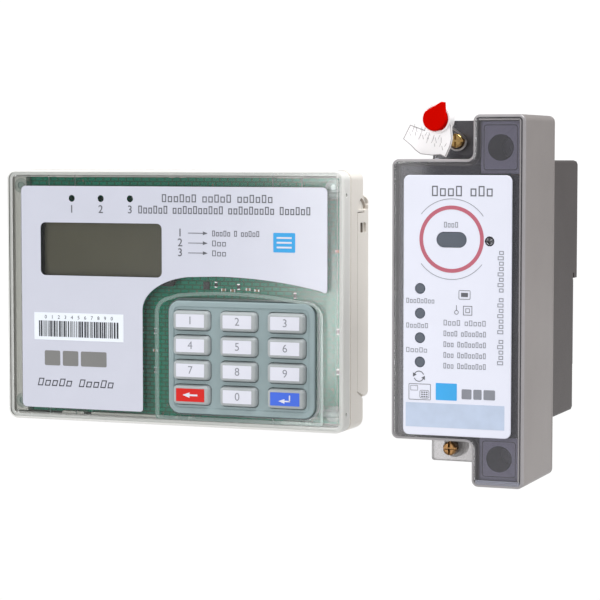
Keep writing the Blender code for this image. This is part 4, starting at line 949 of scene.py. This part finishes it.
def meter_cover_finish(face):
    """Which of the shell's finishes a face has: 0 see-through front, 1 side, 2 rim, 3 lower ledge."""
    middle, ahead = face.center / MM, face.normal.y
    front_face = ahead < -0.9 and middle.y < METER_FRONT + 0.5 and face.area > 60 * MM * MM
    inner_front = ahead > 0.9 and middle.y < METER_INSIDE + 0.3
    if front_face or inner_front:
        return 0
    beside_body = middle.x < TAB_L and not MAIN_LOW < middle.z < MAIN_HIGH
    if beside_body and LEDGE_FRONT - 0.1 < middle.y < LEDGE_BACK + 0.1:
        if middle.z < 0:
            return 3
        return 0 if abs(ahead) > 0.9 else 2
    return 2 if middle.y < METER_FRONT + 0.9 else 1


def crossed_slots(x, z, reach, half, front, floors):
    """The two slots of a screw head; their floors are a hair apart, so that no faces coincide."""
    level, upright = floors
    return (block("slot", (x - reach, front, z - half), (x + reach, level, z + half)),
            block("slot", (x - half, front, z - reach), (x + half, upright, z + reach)))


def label_plate():
    """White plate with soft edges, windows and its small screw."""
    outline = pad(*PLATE, PLATE_R, 10)
    plate = loft("meter_plate", [(PLATE_HIGH.y, outline), *fillet(PLATE_SKIN, outline, 0.35)])
    window = pad(WINDOW_LOW.x, WINDOW_LOW.z, WINDOW_HIGH.x, WINDOW_HIGH.z, 2.7, 12)
    front, back, gap = PLATE_SKIN - 1.0, PLATE_HIGH.y + 1.0, 0.08
    cut(plate, prism("window_hole", inset(window, -gap), front, back),
        rod("screw_hole", *LABEL_SCREW, 1.8, front, back),
        *[rod("lamp_hole", LAMP_X, z, LAMP_R + gap, front, back) for z in LAMP_ZS])
    dress(soften(plate, 0.04, 1), "label_plate", "fixed_parts", "white_label", "meter_label_plate")
    panes = [("optical_pane", "optical_window", window, 0.2)]
    panes += [("indicator_pane_%d" % number, "indicator_window_%d" % number, circle(LAMP_X, z, LAMP_R), 0.25)
              for number, z in enumerate(LAMP_ZS, start=1)]
    for name, node, shape, radius in panes:
        pane = loft(name, [(WINDOW_HIGH.y, shape), *fillet(PLATE_SKIN + 0.1, shape, radius)])
        dress(soften(pane, 0), "window", "fixed_parts", "grey_window", node)
    x, z = LABEL_SCREW
    head, shank = circle(x, z, 1.5), circle(x, z, 0.8)
    head_back, head_front = -81.1, -81.85
    screw = loft("plate_screw", [(-75.0, shank), (head_back, shank), (head_back, head),
                                 *fillet(head_front, head, 0.3)])
    cut(screw, *crossed_slots(x, z, 1.2, 0.2, -82.4, (-81.45, -81.44)))
    dress(soften(screw, 0.04, 1), "steel_dark", "fixed_parts", "steel", "label_screw")


def turning_arrows(marks, x, z):
    """Two curved arrows that chase each other round a point."""
    sweep = 130
    for start in (20, 200):
        marks.curve(x, z, 2.0, 0.3, start, start + sweep, 20)
        turn = math.radians(start + sweep)
        out, along = Vector((math.cos(turn), math.sin(turn))), Vector((-math.sin(turn), math.cos(turn)))
        tip = Vector((x, z)) + out * 1.85
        marks.patch([tuple(tip + step) for step in (out * -0.8, out * 0.8, along * 1.3)])


def plate_print():
    """Ring, arcs, icons, dashes and plain marks on the measuring unit's plate."""
    x, z = WINDOW_C
    rose, grey, soft, blue, strip = (Print(PLATE_SKIN) for _ in range(5))
    rose.ring(x, z + 0.2, 12.1, 1.4)
    for start, end in ((35, 142), (218, 322)):
        soft.curve(x, z + 0.2, 14.6, 0.22, start, end)
    grey.words(128.4, 151.9, 45.2, 3.7, (4, 3))
    lines = [(x - 2.8, x + 2.8, z + 5.4, 2.0, (4,)), (118.8, 129.8, 5.5, 1.8, (8,)),
             (118.8, 127.4, -3.5, 1.8, (6,)), (118.8, 127.2, -12.4, 1.8, (5,))]
    lines += [(133.0, 149.2, -2.2 - 3.9 * row, 2.0, lengths)
              for row, lengths in enumerate(((4, 5), (4, 7), (3, 8), (3, 8), (3, 8)))]
    for line in lines:
        soft.words(*line)
    soft.words(-16.9, 24.5, 154.2, 2.2, (5, 7, 8), upright=True)
    for outline, width in (
            (pad(138.6, 6.3, 143.0, 9.6, 0.4, 4), 0.2), (rect(140.3, 0.6, 143.7, 4.0), 0.22),
            (rect(141.2, 1.5, 142.8, 3.1), 0.2), (pad(119.8, -30.6, 128.2, -24.7, 0.3, 3), 0.2),
            (rect(120.5, -27.2, 123.3, -25.4), 0.14), (pad(124.0, -30.0, 127.6, -27.0, 0.6, 4), 0.16)):
        grey.frame(outline, width)
    grey.bar(139.5, 7.2, 142.1, 8.7)
    grey.ring(137.8, 1.6, 0.8, 0.2, 24)
    grey.bar(137.7, 2.4, 137.9, 4.2)
    turning_arrows(grey, 123.7, -22.0)
    for row in range(3):
        for column in range(3):
            left, low = 124.6 + column * 0.9, -29.6 + row * 0.8
            grey.bar(left, low, left + 0.6, low + 0.45)
    blue.patch(pad(130.1, -30.4, 138.1, -24.2, 0.3, 4))
    for low, high in ((139.9, 143.6), (144.3, 147.4), (148.1, 152.4)):
        soft.patch(pad(low, -29.7, high, -26.1, 0.4, 4))
    strip.bar(118.7, -40.4, 155.9, -31.6)
    for marks, name, paint in ((rose, "plate_ring", "ink_rose"), (grey, "plate_print_grey", "ink_grey"),
                               (soft, "plate_print_soft", "ink_soft"), (blue, "plate_print_blue", "ink_blue"),
                               (strip, "plate_strip", "ink_strip")):
        marks.done(name, paint, "fixed_parts", "white_label")


def terminals():
    """Terminal blocks with well linings and raised frame lines, and the lower tab's pale strip."""
    lining_t, lining_end, line_w = 0.22, -59.2, 0.35
    for name in ("line", "load"):
        node = name + "_terminal_block"
        low, high = box(node)
        housing = soften(copy_of(node, name + "_terminal_housing"), 0.3)
        dress(housing, "block", "fixed_parts", "carrier_plastic", node)
        middle = (low.z + high.z) / 2
        lining, step = bmesh.new(), bmesh.new()
        add_band(lining, circle(TAB_MID, middle, BUSHING_R + lining_t), circle(TAB_MID, middle, BUSHING_R),
                 low.y - 0.05, lining_end)
        dress(to_object(name + "_well_lining", lining), "carrier", "fixed_parts", "carrier_plastic")
        outline = pad(low.x + 1.0, low.z + 1.2, high.x - 1.0, high.z - 1.2, 1.2, 6)
        add_band(step, outline, inset(outline, line_w), low.y - 0.12, low.y - 0.02)
        dress(to_object(name + "_block_step", step), "smoked_rim", "fixed_parts", "carrier_plastic")
    strip_top = box("load_terminal_block")[0].z + 0.2
    strip = block("cover_tab_floor", (TAB_L + 1.4, METER_FRONT + 0.25, TAB_LOW + 0.7),
                  (METER_R - 1.4, METER_FRONT + 0.6, strip_top))
    dress(strip, "sticker", "fixed_parts", "smoked_plastic")


def bracket():
    """Wall bracket with finger recesses and snap slots in its two sides; their sunk faces are painted darker
    as shade, and a painted shadow crescent lies on each recess floor.
    """
    piece = copy_of("wall_bracket", "bracket_plate")
    low_z, high_z = 27.2, 30.8
    tools = []
    for side in (-1, 1):
        tools.append(thumb_recess(side))
        face = side * COVER_HIGH.x
        for front, back in SNAP_SLOTS:
            opening = rect(front, low_z, back, high_z)
            tools.append(prism("snap_slot", opening, face - side * SNAP_DEPTH, face + side, axis="x"))
    wear(soften(cut(piece, *tools), 0.25), "beige", "beige_painted_shade")
    # Faces sunk in the recesses and slots take the darker beige: painted shade.
    for face in piece.data.polygons:
        middle = face.center / MM
        depth = COVER_HIGH.x - abs(middle.x)
        sunk = 0.1 < depth < SNAP_DEPTH + 0.1 and middle.y < CASE_BACK + 0.1
        in_recess = middle.z > 34.8 and middle.y > WING_FRONT
        in_slot = (low_z - 0.2 < middle.z < high_z + 0.2
                   and SNAP_SLOTS[0][0] - 0.1 < middle.y < SNAP_SLOTS[1][1] + 0.1)
        if sunk and (in_recess or in_slot):
            face.material_index = 1
    settle(piece, "fixed_parts", "beige_plastic", "wall_bracket")
    # A thin dark crescent on each recess floor: a painted shadow.
    shape = bmesh.new()
    crescent = arc(RECESS_Y, 36.3, 5.5, 4.5, 4, 100, 16) + arc(-8.4, 36.3, 4.6, 3.6, 80, 4, 16)
    for side in (-1, 1):
        floor = side * (COVER_HIGH.x - RECESS_DEPTH)
        add_prism(shape, crescent, *sorted((floor, floor + side * 0.06)), "x")
    dress(to_object("recess_shade", shape), "beige_painted_shade", "fixed_parts", "beige_plastic")


def base_and_clip():
    """The measuring unit's tub and the rail clip, with softer edges."""
    tub = soften(copy_of("meter_base", "meter_base_tub"), 0.35)
    dress(tub, "base", "fixed_parts", "dark_plastic", "meter_base")
    clip = soften(copy_of("din_clip", "rail_clip"), 0.3)
    dress(clip, "chip", "din_clip", "black_component", "din_clip")


def seal_screws():
    """Brass screws with crossed slots and a hole for the seal wire."""
    head_back = LEDGE_FRONT - 0.3
    # The bottom screw takes the darker brass: painted shade.
    for end, paint in (("top", "brass"), ("bottom", "brass_painted_shade")):
        node = "seal_screw_" + end
        low, high = box(node)
        x, z = (low.x + high.x) / 2, (low.z + high.z) / 2
        head, neck = circle(x, z, (high.x - low.x) / 2), circle(x, z, 1.5)
        screw = loft("brass_screw_" + end, [
            (high.y, neck), (head_back, neck), (head_back, inset(head, 0.25)), (head_back - 0.3, head),
            (low.y + 0.9, head), *fillet(low.y, head, 0.8)])
        cut(screw, *crossed_slots(x, z, 3.5, 0.42, low.y - 1.0, (low.y + 1.2, low.y + 1.19)),
            rod("wire_hole", head_back - 1.4, z, 0.7, x - 4.0, x + 4.0, axis="x", sides=24))
        dress(soften(screw, 0.07), paint, "fixed_parts", "brass", node)


def seal():
    """Clear tag and cup, and the red rotor with its drop-shaped grip."""
    front, back = -71.0, -65.0
    tag_front, tag_back = -68.6, -67.2
    tag = [(112.8, 64.0), (114.4, 62.7), (116.0, 61.4), (117.4, 59.9), (119.5, 58.4), (123.9, 57.9),
           (127.1, 58.2), (129.0, 57.3), (130.9, 61.4), (131.5, 64.0), (131.0, 71.0), (121.5, 70.5),
           (121.0, 67.2), (117.4, 68.5), (115.5, 69.2)]
    body = prism("seal_tag", tag, tag_front, tag_back)
    fuse(body, rod("cup", CUP_X, CUP_Z, 5.3, front, back, sides=64))
    cut(body, rod("room", CUP_X, CUP_Z, 4.7, front - 1.0, back - 1.0, sides=64))
    # The tag and cup's clear finish glows a little: painted light.
    dress(soften(body, 0.22), "seal_clear", "seal", "seal_clear", "seal_body")
    marks = Print(tag_front)
    marks.frame(tag, 0.3)
    stroke = 0.2
    for number in range(22):
        left, low = 115.6 + 0.62 * number, 66.8 - 0.27 * number + 0.8 * (number * 7 % 5 - 2)
        lean, tall = 0.4 * (number * 3 % 4 - 1), 1.2 + 0.4 * (number * 5 % 3)
        marks.patch([(left, low), (left + stroke, low), (left + stroke + lean, low + tall),
                     (left + lean, low + tall)])
    marks.done("seal_tag_marks", "ink_tag", "seal", "seal_clear")
    drop = arc(CUP_X, CUP_Z, 4.4, 4.4, 142, 360, 40)
    drop += [(CUP_X + u, CUP_Z + v) for u, v in ((4.35, 1.2), (4.0, 2.6), (3.9, 4.4), (3.8, 6.0), (2.6, 6.2))]
    grip_front = box("seal_rotor")[0].y
    rotor = rod("seal_knob", CUP_X, CUP_Z, 4.1, front - 1.0, back - 1.3, sides=64)
    fuse(rotor, loft("grip", [(front - 0.3, drop), *fillet(grip_front, drop, 0.5)]))
    dress(soften(rotor, 0.18), "seal_red", "seal_rotor", "seal_red", "seal_rotor")


def wire():
    """Smooth wire from the cup round the neck of the top screw."""
    x, z = TOP_SCREW
    loop_r, loop_y = 3.5, LEDGE_FRONT - 2.2
    start_y = -64.6
    round_screw = [(x + loop_r * math.cos(t), loop_y, z + loop_r * math.sin(t))
                   for t in (math.radians(180 + 180 * i / 8) for i in range(9))]
    way_in = [(124.9, start_y, 69.4), (124.5, start_y + 3.0, 68.6), (123.9, -57.0, 66.6),
              (123.7, -52.0, 64.8)]
    way_out = [(130.9, -52.0, 64.8), (130.4, -57.0, 66.6), (128.3, start_y + 3.0, 68.6),
               (127.6, start_y, 69.4)]
    curve = bpy.data.curves.new("seal_wire_loop", "CURVE")
    curve.dimensions = "3D"
    curve.bevel_depth = 0.45 * MM
    curve.bevel_resolution = 4
    curve.use_fill_caps = True
    path = curve.splines.new("BEZIER")
    points = way_in + round_screw + way_out
    path.bezier_points.add(len(points) - 1)
    for point, place in zip(path.bezier_points, points):
        point.co = [c * MM for c in place]
        point.handle_left_type = "AUTO"
        point.handle_right_type = "AUTO"
    holder = linked("seal_wire_path", curve)
    mesh = evaluated(holder)
    bpy.data.objects.remove(holder)
    mesh.shade_smooth()
    dress(linked("seal_wire_loop", mesh), "steel", "seal", "steel", "seal_wire")


def carried_over():
    """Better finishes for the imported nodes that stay: boards, screws and inner parts."""
    for paint, nodes in {
            "board": ("keypad_circuit_board", "metering_board", "power_board"),
            "chip": ("keypad_microcontroller", "keypad_buzzer", "reservoir_capacitor"),
            "terminal_green": ("keypad_terminal_block",),
            "copper": ("keypad_coupling_coil", "current_shunt", "load_busbar"),
            "steel": ("case_screw_1", "case_screw_2", "case_screw_3", "case_screw_4", "line_terminal_screw",
                      "load_terminal_screw"),
            "carrier": ("inner_carrier",),
            "relay": ("latching_relay",),
            "core": ("power_transformer",),
            "brass": ("line_terminal_barrel", "load_terminal_barrel")}.items():
        for node in nodes:
            wear(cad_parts[node], paint)


# ---- Stage, in metres ---------------------------------------------------------------------------

STAGE_MIDDLE = Vector((0.05, -0.03, 0.0))


def softbox(name, place, width, height, power):
    """A rectangular soft light that points at the middle of the object."""
    light = bpy.data.lights.new(name, "AREA")
    light.shape = "RECTANGLE"
    light.size, light.size_y = width, height
    light.energy = power
    item = linked(name, light)
    item.location = place
    item.rotation_euler = (STAGE_MIDDLE - Vector(place)).to_track_quat("-Z", "Y").to_euler()


def floor_paper():
    """Matt paper, seen pure white."""
    mat = plastic((0.6, 0.6, 0.6), 0.9, spread=0.01, spot=300.0, bump=0.0, level=0.0)
    mat.name = "floor_paper"
    tree = mat.node_tree
    glow = add_node(tree, "Emission", {"Strength": 1.02})
    ray = add_node(tree, "LightPath")
    mix = add_node(tree, "MixShader")
    link(tree, (ray, "Is Camera Ray", mix, "Fac"), (tree.nodes["Principled BSDF"], "BSDF", mix, 1),
         (glow, "Emission", mix, 2), (mix, "Shader", tree.nodes["Material Output"], "Surface"))
    return mat


def surroundings():
    """White surroundings: brightest to the camera, dim in reflections."""
    world = bpy.data.worlds.new("world")
    bpy.context.scene.world = world
    world.use_nodes = True
    tree = world.node_tree
    back = tree.nodes["Background"]
    set_inputs(back, {"Color": (1, 1, 1, 1)})
    ray = add_node(tree, "LightPath")
    indirect = add_node(tree, "MapRange", {"To Min": 0.8, "To Max": 0.2})
    seen = add_node(tree, "MapRange", {"To Max": 1.05})
    link(tree, (ray, "Is Glossy Ray", indirect, "Value"), (indirect, "Result", seen, "To Min"),
         (ray, "Is Camera Ray", seen, "Value"), (seen, "Result", back, "Strength"))


def stage():
    """Camera, pale floor, white surroundings and soft lights."""
    scene = bpy.context.scene
    scene.view_settings.view_transform = "Standard"
    camera = linked("camera", bpy.data.cameras.new("camera"))
    camera.location = (0.3694, -0.8258, 0.0585)
    camera.rotation_euler = (math.pi / 2 - 0.0674, 0.0, 0.3742)
    camera.data.sensor_width = 36.0
    camera.data.lens = 129.9
    scene.camera = camera
    half, level = 6.0, -0.35
    mesh = bpy.data.meshes.new("floor")
    mesh.from_pydata([(u, v, level) for u, v in rect(-half, -half, half, half)], [], [(0, 1, 2, 3)])
    mesh.materials.append(floor_paper())
    linked("floor", mesh)
    surroundings()
    softbox("key_light", (-0.41, -1.4, -0.12), 0.1, 0.7, 2.9)
    softbox("streak_light", (-0.327, -1.4, -0.1), 0.035, 0.9, 0.3)
    softbox("left_light", (-1.5, -0.5, 0.3), 0.9, 1.2, 5)
    softbox("top_light", (0.7, -0.2, 1.4), 0.9, 0.9, 23)


# ---- Build --------------------------------------------------------------------------------------

for make in (stage, front_cover, cover_details, label, label_print, rear_case, case_snaps, keymat, keys,
             lamps_and_display, board_parts, meter_cover, label_plate, plate_print, terminals, bracket,
             base_and_clip, seal_screws, seal, wire, carried_over):
    make()
bpy.context.view_layer.update()
